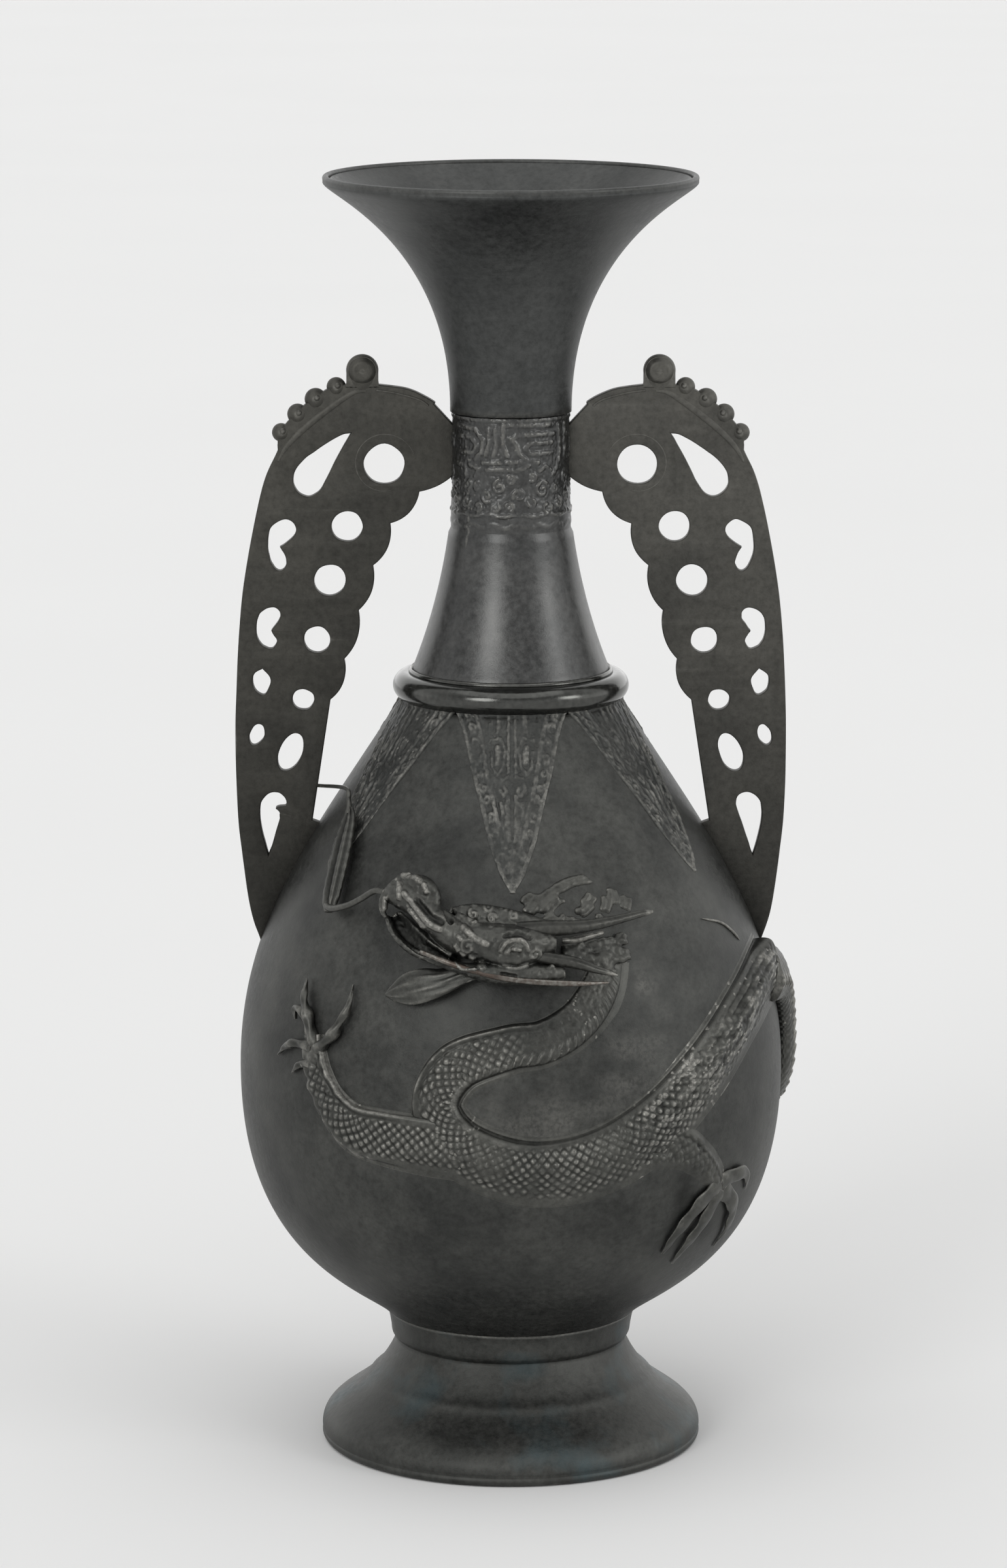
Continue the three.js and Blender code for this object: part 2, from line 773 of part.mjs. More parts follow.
const beardLeaf = [
  [-6, 39.4, 2.6, 1.8, 1.6],
  [-13, 37, 2.6, 4.2, 1.8],
  [-20, 34.2, 3, 3.6, 1.5],
  [-26.8, 32.8, 2.8, 0.6, 0.6],
];
const noseWire = [
  [-32.4, 56.6, 8, 0.8],
  [-38.4, 54.4, 6.4, 0.8],
  [-43.5, 53, 5.2, 0.8],
  [-47.4, 52.8, 4.4, 1.2, 0.9],
  [-49.4, 55.6, 3.8, 2.2, 0.9],
  [-52.2, 62.8, 3.2, 2.3, 0.9],
  [-55.6, 71, 2.8, 2, 0.9],
  [-59.4, 76.8, 2.8, 1.2, 0.8],
  [-67, 79.6, 3.6, 0.7],
];
const wireEndLevel = 79.8;
const wireEndRadius = 0.6;

// The nose wire's last point, against the inner edge of the left handle.
function wireEnd() {
  const height = bellyHeight + wireEndLevel;
  const top = plot(scallops.at(-1));
  const [heel, heelHeight] = heelPoint();
  const share = (top.y - height) / (top.y - heelHeight);
  const edge = THREE.MathUtils.lerp(top.x, heel, share);
  return [new THREE.Vector3(-(edge - fit - wireEndRadius), -1, height), wireEndRadius];
}

function jawWireSolid(grow = 0) {
  return limb(jawWire, { steps: 10, sides: 6, grow });
}

function noseWireSolid(grow = 0) {
  return limb(noseWire, { steps: 26, sides: 6, grow, end: [wireEnd()] });
}

function trunkSolid(grow = 0) {
  return relief(neckAndTrunk, { steps: 30, grow });
}

function headSolid(grow = 0) {
  return joined([
    limb(skull, { steps: 8, grow }),
    limb(jaw, { steps: 5, sides: 6, grow }),
    ...headBumps.map((bump) => ball(...bump, grow)),
  ]);
}

function clawed(shank, claws, grow = 0) {
  return joined([
    limb(shank, { steps: 8, sides: 7, grow }),
    ...claws.map((claw) => limb(claw, { steps: 4, sides: 6, grow })),
  ]);
}

function dragon() {
  const body = bodyClearance();
  const trunk = trunkSolid(fit);
  const head = headSolid(fit);
  const wires = [jawWireSolid(fit), noseWireSolid(fit)];
  const hornRoots = limb(upperHorn, { steps: 6, grow: fit });
  const group = new THREE.Group();
  group.add(
    piece("dragon_body", trunkSolid()),
    piece("dragon_tail", largest(without(limb(coil, { steps: 19 }), body, trunk))),
    piece("dragon_foreleg", largest(without(clawed(foreArm, foreClaws), body, trunk))),
    piece("dragon_hind_leg", largest(without(clawed(hindShank, hindClaws), body, trunk))),
    piece("dragon_head", largest(without(headSolid(), body, ...wires, ...holesIn("dragon_head")))),
    piece("dragon_upper_horn", largest(without(limb(upperHorn, { steps: 6 }), head, body))),
    piece("dragon_lower_horn", largest(without(limb(lowerHorn, { steps: 6 }), head, body, hornRoots))),
    piece("dragon_beard", largest(without(limb(beardLeaf, { steps: 7 }), head, body, wires[0]))),
    piece("dragon_left_whisker", noseWireSolid()),
    piece("dragon_right_whisker", jawWireSolid(), coppery),
  );
  return group;
}

function vessel() {
  const group = new THREE.Group();
  const wallHoles = holesFor(pins);
  group.add(
    piece("foot", footSolid()),
    piece("base_plate", basePlateSolid()),
    piece("body", without(bodySolid(), ...wallHoles)),
    piece("shoulder_ring", ringSolid(), polishedBronze),
    piece("neck", without(neckSolid(), ...wallHoles)),
    piece("trumpet_mouth", trumpetSolid()),
  );
  return group;
}

function handles() {
  const group = new THREE.Group();
  const right = piece("right_handle", handleSolid());
  const left = piece("left_handle", handleSolid());
  left.rotation.z = Math.PI;
  group.add(right, left);
  return group;
}

function rivets() {
  const group = new THREE.Group();
  for (const pin of pins) {
    const made = pinSolid(pin.wall + pinHeadGap, pin.reach);
    group.add(piece(pin.name, aimed(made, pin.place, pin.direction)));
  }
  return group;
}

const vase = new THREE.Group();
vase.add(vessel(), handles(), dragon(), rivets());

export default vase;
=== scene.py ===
"""Looks of a dark bronze vase with a dragon in relief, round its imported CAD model.

The frame is in metres, +Z up, with the front facing -Y. Sizes in this file are in millimetres and
turn into metres when a mesh is made. A place on the pear-shaped body is an angle from the front
towards +X, in degrees, and a level above or below the widest height, in millimetres.
"""
import math

import bmesh
import bpy
import numpy as np
from mathutils import Matrix, Vector


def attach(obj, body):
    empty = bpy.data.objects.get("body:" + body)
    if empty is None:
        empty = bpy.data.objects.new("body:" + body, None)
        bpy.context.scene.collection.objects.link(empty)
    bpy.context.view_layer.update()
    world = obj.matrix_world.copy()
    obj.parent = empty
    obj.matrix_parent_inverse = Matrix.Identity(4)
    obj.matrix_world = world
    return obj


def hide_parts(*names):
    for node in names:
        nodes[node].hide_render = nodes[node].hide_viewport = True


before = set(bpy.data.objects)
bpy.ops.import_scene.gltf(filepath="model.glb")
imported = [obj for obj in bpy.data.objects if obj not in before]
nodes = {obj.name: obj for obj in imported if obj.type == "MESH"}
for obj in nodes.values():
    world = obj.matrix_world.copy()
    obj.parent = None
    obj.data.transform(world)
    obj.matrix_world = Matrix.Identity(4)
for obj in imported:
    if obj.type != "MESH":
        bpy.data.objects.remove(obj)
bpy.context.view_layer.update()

MM = 0.001

# Points round the axis, for plain pieces and for the finely chased neck
TURNS = 320
BAND_TURNS = 520

# Sizes shared with the solids
FOOT_RADIUS = 53.85
FOOT_TOP = 38.5
WAIST_RADIUS = 32.6
BELLY_HEIGHT = 109.0
BELLY_RADIUS = 76.5
BODY_TOP = 213.5
BODY_BOTTOM_RADIUS = 36.0
SHOULDER_RADIUS = 31.0
NECK_TOP = 294.2
NECK_RADIUS = 16.1
NECK_FOOT_RADIUS = 27.6
BAND_FOOT = 266.5
BAND_RELIEF = 0.5
TRUMPET_FOOT = 294.5
TRUMPET_FOOT_RADIUS = 16.9
MOUTH_RADIUS = 51.8
MOUTH_HEIGHT = 358.2
RIM_HEIGHT = 360.0
RING_RADIUS = 29.2
RING_HEIGHT = 217.6
RING_SECTION = 3.8
WALL = 2.5
FOOT_WALL = 2.8
TRUMPET_WALL = 2.4


# Outlines and places

def curve(start, end, shares, steps):
    """A curved outline from one radius and height to another, with both ends."""
    start, end = np.array(start, float), np.array(end, float)
    way = end - start
    first, second = (start + way * np.array(share) for share in shares)
    t = np.linspace(0, 1, steps + 1)[:, None]
    return (1 - t) ** 3 * start + 3 * (1 - t) ** 2 * t * first + 3 * (1 - t) * t**2 * second + t**3 * end


def inset(profile, wall):
    """An upward outline moved towards the axis, square to itself."""
    way = np.gradient(profile, axis=0)
    way /= np.linalg.norm(way, axis=1)[:, None]
    return profile + wall * np.column_stack([-way[:, 1], way[:, 0]])


def body_outline(steps):
    belly = (BELLY_RADIUS, BELLY_HEIGHT)
    lower = curve((BODY_BOTTOM_RADIUS, FOOT_TOP), belly, [(0.213, 0.13), (1, 0.227)], steps)
    upper = curve(belly, (SHOULDER_RADIUS, BODY_TOP), [(0, 0.394), (0.487, 0.643)], steps)
    return np.vstack([lower, upper[1:]])


SKIN = body_outline(300)


def radius_at(height):
    return np.interp(height, SKIN[:, 1], SKIN[:, 0])


def facing(height):
    """The outward direction of the body's wall at a height, as radial and vertical shares."""
    slope = radius_at(height + 0.5) - radius_at(height - 0.5)
    length = np.hypot(1, slope)
    return 1 / length, -slope / length


def around(angle, radius, height):
    a = np.radians(angle)
    return np.stack(np.broadcast_arrays(radius * np.sin(a), -radius * np.cos(a), height), -1)


def on(angle, level, lift=0.0):
    height = np.asarray(level, float) + BELLY_HEIGHT
    out, up = facing(height)
    return around(angle, radius_at(height) + lift * out, height + lift * up)


def place_of(points):
    """The angle and level of points in space."""
    return np.degrees(np.arctan2(points[..., 0], -points[..., 1])), points[..., 2] - BELLY_HEIGHT


def normals_at(points):
    angle, level = place_of(points)
    out, up = facing(level + BELLY_HEIGHT)
    return around(angle, out, up)


def smooth_rows(rows, count):
    """Rows of numbers, drawn out along a smooth line through them."""
    rows = np.array(rows, float)
    padded = np.vstack([2 * rows[0] - rows[1], rows, 2 * rows[-1] - rows[-2]])
    t = np.linspace(0, len(rows) - 1, count)
    i = np.minimum(t.astype(int), len(rows) - 2)
    f = (t - i)[:, None]
    a, b, c, d = (padded[i + k] for k in range(4))
    return 0.5 * (2 * b + (c - a) * f + (2 * a - 5 * b + 4 * c - d) * f**2 + (3 * b - a - 3 * c + d) * f**3)


def ease(value, low, high):
    t = np.clip((value - low) / (high - low), 0, 1)
    return t * t * (3 - 2 * t)


# Meshes

def add_mesh(name, points, faces, material, marks=None):
    """A mesh object from points in millimetres, with their wear and painted light: above 0 paler (rubbed wear
    and painted highlights), below 0 darker (dirt and painted shade).
    """
    mesh = bpy.data.meshes.new(name)
    mesh.from_pydata((np.asarray(points, float) * MM).tolist(), [], faces)
    work = bmesh.new()
    work.from_mesh(mesh)
    bmesh.ops.recalc_face_normals(work, faces=work.faces)
    work.to_mesh(mesh)
    work.free()
    mesh.polygons.foreach_set("use_smooth", [True] * len(mesh.polygons))
    piece = bpy.data.objects.new(name, mesh)
    bpy.context.scene.collection.objects.link(piece)
    mesh.materials.append(material)
    if marks is not None:
        wear_and_painted_light = mesh.attributes.new("wear_and_painted_light", "FLOAT", "POINT")
        wear_and_painted_light.data.foreach_set("value", np.clip(marks, -1, 1).astype(float))
    return piece


def ring_faces(rows, columns, first=0, closed=False):
    index = np.arange(rows * columns).reshape(rows, columns) + first
    here, there = (index, np.roll(index, -1, 0)) if closed else (index[:-1], index[1:])
    quads = np.stack([here, np.roll(here, -1, 1), np.roll(there, -1, 1), there], -1).reshape(-1, 4).tolist()
    if not closed:
        quads += [index[0][::-1].tolist(), index[-1].tolist()]
    return quads


def ring_mesh(name, rings, material, closed=False, marks=None):
    rows, columns = rings.shape[:2]
    marks = None if marks is None else np.broadcast_to(marks, (rows, columns)).reshape(-1)
    faces = ring_faces(rows, columns, closed=closed)
    return add_mesh(name, rings.reshape(-1, 3), faces, material, marks)


def settle(piece, slot, *replaced):
    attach(piece, "root")
    if replaced:
        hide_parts(*replaced)


def turned(name, profile, material, lift=None, marks=None):
    """A closed profile turned about the axis. lift(angle, height, radius) moves its points out."""
    angles = np.linspace(0, 360, TURNS, endpoint=False)
    profile = np.asarray(profile, float)
    radius = np.broadcast_to(profile[:, 0], (TURNS, len(profile)))
    height = np.broadcast_to(profile[:, 1], (TURNS, len(profile)))
    if lift is not None:
        radius = radius + lift(np.broadcast_to(angles[:, None], radius.shape), height, radius)
    rings = around(angles[:, None], radius, height)
    return ring_mesh(name, rings, material, closed=True, marks=marks)


# Materials

METALLIC = 0.9
RUBBED_AND_HIGHLIGHT_COLOUR = (0.24, 0.235, 0.215)
DIRT_AND_SHADE_SHARE = 0.6
BUMP_DEPTH = 0.00006


def tree_tools(owner):
    """Functions that add and link nodes in the emptied node tree of a material or world."""
    owner.use_nodes = True
    tree = owner.node_tree
    tree.nodes.clear()

    def add(kind, **values):
        node = tree.nodes.new(kind)
        for key, value in values.items():
            if key.startswith("in_"):
                node.inputs[key[3:].replace("_", " ")].default_value = value
            else:
                setattr(node, key, value)
        return node

    return add, tree.links.new


def ramp(add, link, value, stops):
    node = add("ShaderNodeValToRGB")
    elements = node.color_ramp.elements
    while len(elements) < len(stops):
        elements.new(0.5)
    for element, (place, colour) in zip(elements, stops):
        element.position = place
        element.color = (*colour, 1)
    link(value, node.inputs["Fac"])
    return node.outputs["Color"]


def grey(value):
    return (value, value, value)


def noise_at(add, link, place, scale, detail, rough=0.5):
    node = add("ShaderNodeTexNoise", in_Scale=scale, in_Detail=detail, in_Roughness=rough)
    link(place, node.inputs["Vector"])
    return node.outputs["Fac"]


def map_range(add, link, value, low, high, first=0.0, last=1.0):
    node = add("ShaderNodeMapRange", in_From_Min=low, in_From_Max=high, in_To_Min=first, in_To_Max=last)
    link(value, node.inputs["Value"])
    return node.outputs["Result"]


def maths(add, link, operation, *values):
    """One step of arithmetic on numbers and outputs of other nodes."""
    node = add("ShaderNodeMath", operation=operation)
    for socket, value in zip(node.inputs, values):
        if isinstance(value, float):
            socket.default_value = value
        else:
            link(value, socket)
    return node.outputs["Value"]


def multiplied(add, link, first, second):
    node = add("ShaderNodeMix", data_type="RGBA", blend_type="MULTIPLY")
    node.inputs["Factor"].default_value = 1.0
    link(first, node.inputs["A"])
    link(second, node.inputs["B"])
    return node.outputs["Result"]


def towards(add, link, factor, first, colour):
    """A tone that goes over to one colour where the factor is 1."""
    node = add("ShaderNodeMix", data_type="RGBA")
    link(factor, node.inputs["Factor"])
    link(first, node.inputs["A"])
    node.inputs["B"].default_value = (*colour, 1)
    return node.outputs["Result"]


def bronze(name, dark, pale, rough, rub_and_highlight=0.5, grain=1.0, streak=None, tint=None, rise=None):
    """Patinated bronze: mottled tone, rubbed edges and painted highlights, dirt and painted shade in the
    hollows and a fine cast grain.

    streak stretches lines in the grain. tint is the colour, scale and strength of patches. rise
    is two heights in metres and the share of the tone at each.
    """
    material = bpy.data.materials.new(name)
    add, link = tree_tools(material)
    output = add("ShaderNodeOutputMaterial")
    shader = add("ShaderNodeBsdfPrincipled", in_Metallic=METALLIC)
    place = add("ShaderNodeTexCoord").outputs["Object"]
    cloud = noise_at(add, link, place, 38.0, 6.0, 0.62)
    speck = noise_at(add, link, place, 520.0, 5.0, 0.7)
    fine = noise_at(add, link, place, 2600.0, 3.0, 0.6)
    tone = ramp(add, link, cloud, [(0.36, dark), (0.64, pale)])
    shade = ramp(add, link, speck, [(0.3, grey(0.72)), (0.7, grey(1.3))])
    colour = multiplied(add, link, tone, shade)
    if rise:
        axes = add("ShaderNodeSeparateXYZ")
        link(place, axes.inputs["Vector"])
        colour = multiplied(add, link, colour, map_range(add, link, axes.outputs["Z"], *rise))
    if tint:
        patch_colour, patch_scale, strength = tint
        patch = noise_at(add, link, place, patch_scale, 4.0)
        mask = ramp(add, link, patch, [(0.55, grey(0)), (0.72, grey(strength))])
        colour = towards(add, link, mask, colour, patch_colour)

    edge = add("ShaderNodeNewGeometry").outputs["Pointiness"]
    hollow = ramp(add, link, edge, [(0.40, grey(0.55)), (0.49, grey(1))])
    colour = multiplied(add, link, colour, hollow)
    ridge = ramp(add, link, edge, [(0.52, grey(0)), (0.62, grey(rub_and_highlight))])
    wear_and_painted_light = add("ShaderNodeAttribute", attribute_name="wear_and_painted_light").outputs["Fac"]
    # Above 0 the wear attribute goes towards the rubbed colour: real wear, and painted highlights on scale
    # tops, horn tips, the whisker's ends and the trumpet's lip.
    worn_and_glint = ramp(add, link, wear_and_painted_light, [(0.05, grey(0)), (0.75, grey(rub_and_highlight))])
    chips = noise_at(add, link, place, 850.0, 3.0, 0.6)
    uneven = ramp(add, link, chips, [(0.38, grey(0.3)), (0.60, grey(1))])
    rubbed_and_highlight = maths(add, link, "MULTIPLY", maths(add, link, "MAXIMUM", ridge, worn_and_glint), uneven)
    # Below 0 the wear attribute darkens the colour: dirt, and painted shade in hollows, gaps and under parts
    # that stand off.
    dirt_and_shade = maths(add, link, "MULTIPLY_ADD", wear_and_painted_light, DIRT_AND_SHADE_SHARE, 1.0)
    colour = multiplied(add, link, colour, maths(add, link, "MINIMUM", dirt_and_shade, 1.0))
    colour = towards(add, link, rubbed_and_highlight, colour, RUBBED_AND_HIGHLIGHT_COLOUR)
    link(colour, shader.inputs["Base Color"])
    gloss = ramp(add, link, speck, [(0.3, grey(rough - 0.07)), (0.7, grey(rough + 0.09))])
    link(gloss, shader.inputs["Roughness"])

    surface = maths(add, link, "MULTIPLY_ADD", fine, 0.35, speck)
    if streak:
        stretch = add("ShaderNodeMapping")
        stretch.inputs["Scale"].default_value = streak
        link(place, stretch.inputs["Vector"])
        lines = noise_at(add, link, stretch.outputs["Vector"], 1.0, 4.0, 0.65)
        surface = maths(add, link, "ADD", surface, lines)
    bump = add("ShaderNodeBump", in_Strength=1.0, in_Distance=BUMP_DEPTH * grain)
    link(surface, bump.inputs["Height"])
    link(bump.outputs["Normal"], shader.inputs["Normal"])
    link(shader.outputs["BSDF"], output.inputs["Surface"])
    return material


trumpet_bronze = bronze(
    "trumpet_bronze", (0.050, 0.052, 0.051), (0.074, 0.076, 0.074), 0.46, streak=(60, 60, 900))
dark_bronze = bronze("dark_bronze", (0.040, 0.042, 0.040), (0.062, 0.064, 0.060), 0.48)
neck_bronze = bronze("neck_bronze", (0.066, 0.067, 0.066), (0.098, 0.098, 0.095), 0.35, rub_and_highlight=0.6, grain=0.8)
ground_bronze = bronze("ground_bronze", (0.042, 0.043, 0.041), (0.072, 0.073, 0.068), 0.5, grain=1.6)
lappet_bronze = bronze("lappet_bronze", (0.044, 0.046, 0.044), (0.066, 0.067, 0.063), 0.5, rub_and_highlight=0.75)
foot_bronze = bronze(
    "foot_bronze", (0.048, 0.049, 0.046), (0.074, 0.075, 0.070), 0.5, grain=1.3,
    tint=((0.065, 0.10, 0.11), 55.0, 0.45))
ring_bronze = bronze("ring_bronze", (0.066, 0.067, 0.063), (0.080, 0.081, 0.076), 0.17, grain=0.25)
# Both handle copies grow darker towards the bottom. The right copy is paler than the left: painted light, for
# the stronger light on the right side.
left_handle_bronze = bronze(
    "left_handle_bronze", (0.050, 0.049, 0.044), (0.070, 0.068, 0.060), 0.55, grain=1.4,
    rise=(0.16, 0.30, 0.75, 1.2))
right_handle_lit_bronze = bronze(
    "right_handle_lit_bronze", (0.056, 0.055, 0.050), (0.078, 0.076, 0.068), 0.55, grain=1.4,
    rise=(0.16, 0.27, 0.75, 1.35))
relief_bronze = bronze("relief_bronze", (0.052, 0.053, 0.049), (0.090, 0.090, 0.082), 0.42, rub_and_highlight=1.0)
copper_wire = bronze("copper_wire", (0.052, 0.038, 0.031), (0.085, 0.062, 0.050), 0.36, rub_and_highlight=0.75, grain=0.6)
rivet_bronze = bronze("rivet_bronze", (0.040, 0.040, 0.036), (0.060, 0.058, 0.050), 0.5)


# Turned pieces

def fillet(centre, radius, start, end, steps):
    a = np.radians(np.linspace(start, end, steps + 1))
    return np.column_stack([centre[0] + radius * np.cos(a), centre[1] + radius * np.sin(a)])


def wobble(amount, waves, seed):
    """Slow unevenness of a hand-finished casting."""
    random = np.random.default_rng(seed)
    terms = []
    for _ in range(7):
        terms.append((random.integers(1, waves), random.uniform(0.01, 0.09), random.uniform(0, 6.3)))

    def lift(angle, height, radius):
        total = sum(np.sin(np.radians(angle) * k + height * f + p) for k, f, p in terms)
        return amount * total / len(terms)

    return lift


def foot_piece():
    flare = curve((FOOT_RADIUS, 3.4), (WAIST_RADIUS, 29.3), [(0, 0.36), (0.67, 0.316)], 60)
    flare[:, 0] += 0.5 * bell(flare[:, 1], 18.6, 1.3)
    hem = fillet((FOOT_RADIUS - 1.5, 1.6), 1.5, -70, 40, 10)
    collar = np.array([
        (32.7, 29.6), (33.5, 30.2), (34.0, 31.2), (34.2, 33.0), (34.5, 35.5), (34.9, 37.2), (35.4, 38.2)])
    inside = inset(flare, FOOT_WALL)
    inside = inside[(inside[:, 1] > 9) & (inside[:, 1] < 27)][::-1]
    profile = np.vstack([
        [(49.6, 0), (52.2, 0)], hem, flare, collar, [(30.5, 38.2), (30.5, 32.8), (29.8, 32.8)], inside,
        [(46.6, 8.6), (46.6, 6.0), (49.5, 6.0)]])

    def lift(angle, height, radius):
        lumps = wobble(0.35, 16, 4)(angle, height * 9, radius)
        collar_share = ease(height, 27.5, 30) * (radius > 31)
        return wobble(0.12, 6, 3)(angle, height, radius) + lumps * collar_share

    settle(turned("vase_foot", profile, foot_bronze, lift), "dark_bronze", "foot")


# Paler and darker places of the body: angle, level, their two widths and the strength
# The dark patches at 39.5, -24 and 51, -37 are painted shadows in the hollows under the hind claws.
GROUND_PATCHES_AND_SHADOWS = [
    (10, 58, 7, 4, 0.22), (-6, 58, 8, 4, 0.15), (26, 57, 5, 4, 0.12), (7, 0, 12, 9, 0.42),
    (24, 12, 9, 12, 0.34), (-32, 6, 6, 8, 0.25), (39.5, -24, 2.2, 6, -0.9), (51, -37, 2.6, 4, -0.9),
    (44, -34, 5, 5, 0.2), (26, 62, 16, 8, -0.35), (-28, 68, 18, 9, -0.3), (32, 34, 5, 16, 0.22),
    (-14, 36, 5, 3.5, -0.6)]


def body_piece():
    outside = body_outline(90)
    inside = inset(outside, WALL)
    inside = inside[(inside[:, 1] > 41.5) & (inside[:, 1] < 204)][::-1]
    profile = np.vstack([
        outside, [(27.95, 213.5), (27.95, 207.2), (25.1, 207.2), (25.1, 205)], inside,
        [(28.1, 41), (28.1, 33.5), (30.2, 33.5), (30.2, 38.4)]])
    angle = np.linspace(0, 360, TURNS, endpoint=False)[:, None]
    angle = np.where(angle > 180, angle - 360, angle)
    level = profile[None, :, 1] - BELLY_HEIGHT
    cloud = 0.75 + 0.6 * smooth_noise(angle / 5, level / 5, 51)
    marks = 0.12 * smooth_noise(angle / 3, level / 3, 52)
    # A negative strength darkens the body; the two under the hind claws are painted shadows.
    for middle, height, wide, tall, strength in GROUND_PATCHES_AND_SHADOWS:
        blob = bell(angle, middle, wide) * bell(level, height, tall)
        marks = marks + strength * blob * (cloud if strength > 0 else 1)
    piece = turned("vase_body", profile, ground_bronze, wobble(0.16, 7, 8), marks=marks)
    settle(piece, "dark_bronze", "body")


def ring_piece():
    arc = fillet((RING_RADIUS, RING_HEIGHT), RING_SECTION, -104, 104, 44)
    bead = np.array([(28.6, 221.4), (28.45, 221.9), (28.2, 222.3), (27.95, 222.5)])
    profile = np.vstack([arc, bead, [(27.95, 213.8)]])
    settle(turned("shoulder_ring_moulding", profile, ring_bronze), "polished_bronze", "shoulder_ring")


def neck_outline(steps):
    foot = (NECK_FOOT_RADIUS, BODY_TOP + 8.5)
    return curve(foot, (NECK_RADIUS, 276.0), [(1, 0.525), (1, 1)], steps)


def trumpet_piece():
    outside = curve((TRUMPET_FOOT_RADIUS, TRUMPET_FOOT), (MOUTH_RADIUS, MOUTH_HEIGHT),
                    [(0, 0.765), (1.037, 0.956)], 80)
    lip = fillet((MOUTH_RADIUS - 0.75, RIM_HEIGHT - 0.85), 0.85, -20, 200, 12)
    inside = inset(outside, TRUMPET_WALL)
    inside = inside[inside[:, 1] > 301.5][::-1]
    profile = np.vstack([outside, lip, inside, [(14.5, 300.6), (15.3, 300.5), (15.3, 294.5)]])
    # The lip and the inside go towards the rubbed colour: painted light on the inner wall and a painted
    # highlight along the lip.
    inner_wall_light = np.concatenate([np.zeros(len(outside)), np.full(len(lip), 0.2), np.full(len(inside) + 3, 0.12)])
    piece = turned("trumpet", profile, trumpet_bronze, wobble(0.12, 5, 12), marks=inner_wall_light)
    settle(piece, "dark_bronze", "trumpet_mouth")


# Chased relief: strokes drawn on a flat sheet and laid round the vase

NOISE_CELLS = 64


def smooth_noise(u, v, seed):
    """Soft noise from -1 to 1, with features about 1 across."""
    values = np.random.default_rng(seed).uniform(-1, 1, (NOISE_CELLS, NOISE_CELLS))
    u, v = np.broadcast_arrays(u, v)
    i, j = np.floor(u).astype(int), np.floor(v).astype(int)
    f, g = u - i, v - j
    f, g = f * f * (3 - 2 * f), g * g * (3 - 2 * g)
    i, j, after_i, after_j = (cell % NOISE_CELLS for cell in (i, j, i + 1, j + 1))
    low = values[i, j] * (1 - f) + values[after_i, j] * f
    high = values[i, after_j] * (1 - f) + values[after_i, after_j] * f
    return low * (1 - g) + high * g


def bell(value, middle, width):
    return np.exp(-(((value - middle) / width) ** 2))


def shoulder(distance, reach):
    """A rounded edge: 0 at the edge and 1 from the reach inwards."""
    return np.sqrt(1 - (1 - np.clip(distance / reach, 0, 1)) ** 2)


def stroke_height(u, v, strokes):
    """Height of raised lines. A stroke is its points, its half width and its height."""
    total = np.zeros(np.broadcast(u, v).shape)
    for points, half, height in strokes:
        points = np.asarray(points, float)
        near = np.full(total.shape, 1e9)
        low, high = points.min(0) - 3 * half, points.max(0) + 3 * half
        inside = (u > low[0]) & (u < high[0]) & (v > low[1]) & (v < high[1])
        if not inside.any():
            continue
        x, y = u[inside], v[inside]
        best = near[inside]
        for (x0, y0), (x1, y1) in zip(points[:-1], points[1:]):
            dx, dy = x1 - x0, y1 - y0
            t = np.clip(((x - x0) * dx + (y - y0) * dy) / (dx * dx + dy * dy + 1e-9), 0, 1)
            best = np.minimum(best, (x - x0 - t * dx) ** 2 + (y - y0 - t * dy) ** 2)
        share = np.clip(1 - best / half**2 / 1.6, 0, 1)
        total[inside] = np.maximum(total[inside], height * share**0.7)
    return total


def spiral(centre, start, turns, size, steps=26):
    """A scroll that winds in to its centre. A negative turns winds the other way."""
    t = np.linspace(0, 1, steps)
    a = np.radians(start) + 2 * math.pi * turns * t
    r = size * (1 - 0.82 * t)
    return np.column_stack([centre[0] + r * np.cos(a), centre[1] + r * np.sin(a)])


def mirrored(points):
    return np.asarray(points, float) * (-1, 1)


BAND_MOTIFS = 2
BAND_HEIGHT = NECK_TOP - BAND_FOOT
BAND_TURN = 2 * math.pi * (NECK_RADIUS + BAND_RELIEF)
FRINGE_DEPTH = 4.4

# Lines of the chased band: millimetres round the neck from the front, and up from the band's foot
BAND_LINES = [
    [(12.6, 20.8), (5.4, 20.8), (4.0, 19.4), (5.4, 17.9), (12.8, 17.9)],
    [(13.2, 23.2), (1.8, 23.2), (0.2, 22.0), (1.6, 20.4), (2.4, 18.0), (4.6, 15.8), (8.0, 15.4)],
    [(-2.2, 25.8), (-2.2, 20.4), (-1.0, 17.4)],
    [(-2.2, 25.9), (12.8, 25.7)],
    [(-8.2, 15.3), (-3.0, 15.4)], [(-7.0, 13.5), (-2.4, 13.6), (1.4, 13.2), (3.8, 14.0)],
    [(3.0, 15.8), (5.0, 14.6)], [(-1.2, 15.6), (1.4, 15.7)],
    [(-17.5, 22.2), (-12.6, 22.4), (-10.2, 20.2), (-11.8, 18.0), (-17.0, 17.8)],
    [(-18.5, 25.0), (-11.0, 24.6), (-8.2, 21.6), (-8.8, 18.0), (-11.0, 16.2)],
    [(-6.6, 24.6), (-6.2, 21.0), (-7.4, 17.6)], [(-4.4, 24.8), (-4.2, 20.4), (-5.0, 17.4)],
    [(15.4, 25.2), (16.2, 19.0), (15.0, 13.6), (12.6, 11.6)], [(18.6, 25.4), (19.0, 16.0)],
    [(8.4, 13.2), (10.4, 14.2), (12.2, 13.0)], [(-12.8, 14.4), (-9.6, 13.4), (-10.6, 11.6)],
    [(-18.6, 14.6), (-15.0, 14.2), (-14.4, 11.8)], [(20.6, 22.4), (23.6, 21.8), (24.0, 17.0), (21.0, 15.8)]]
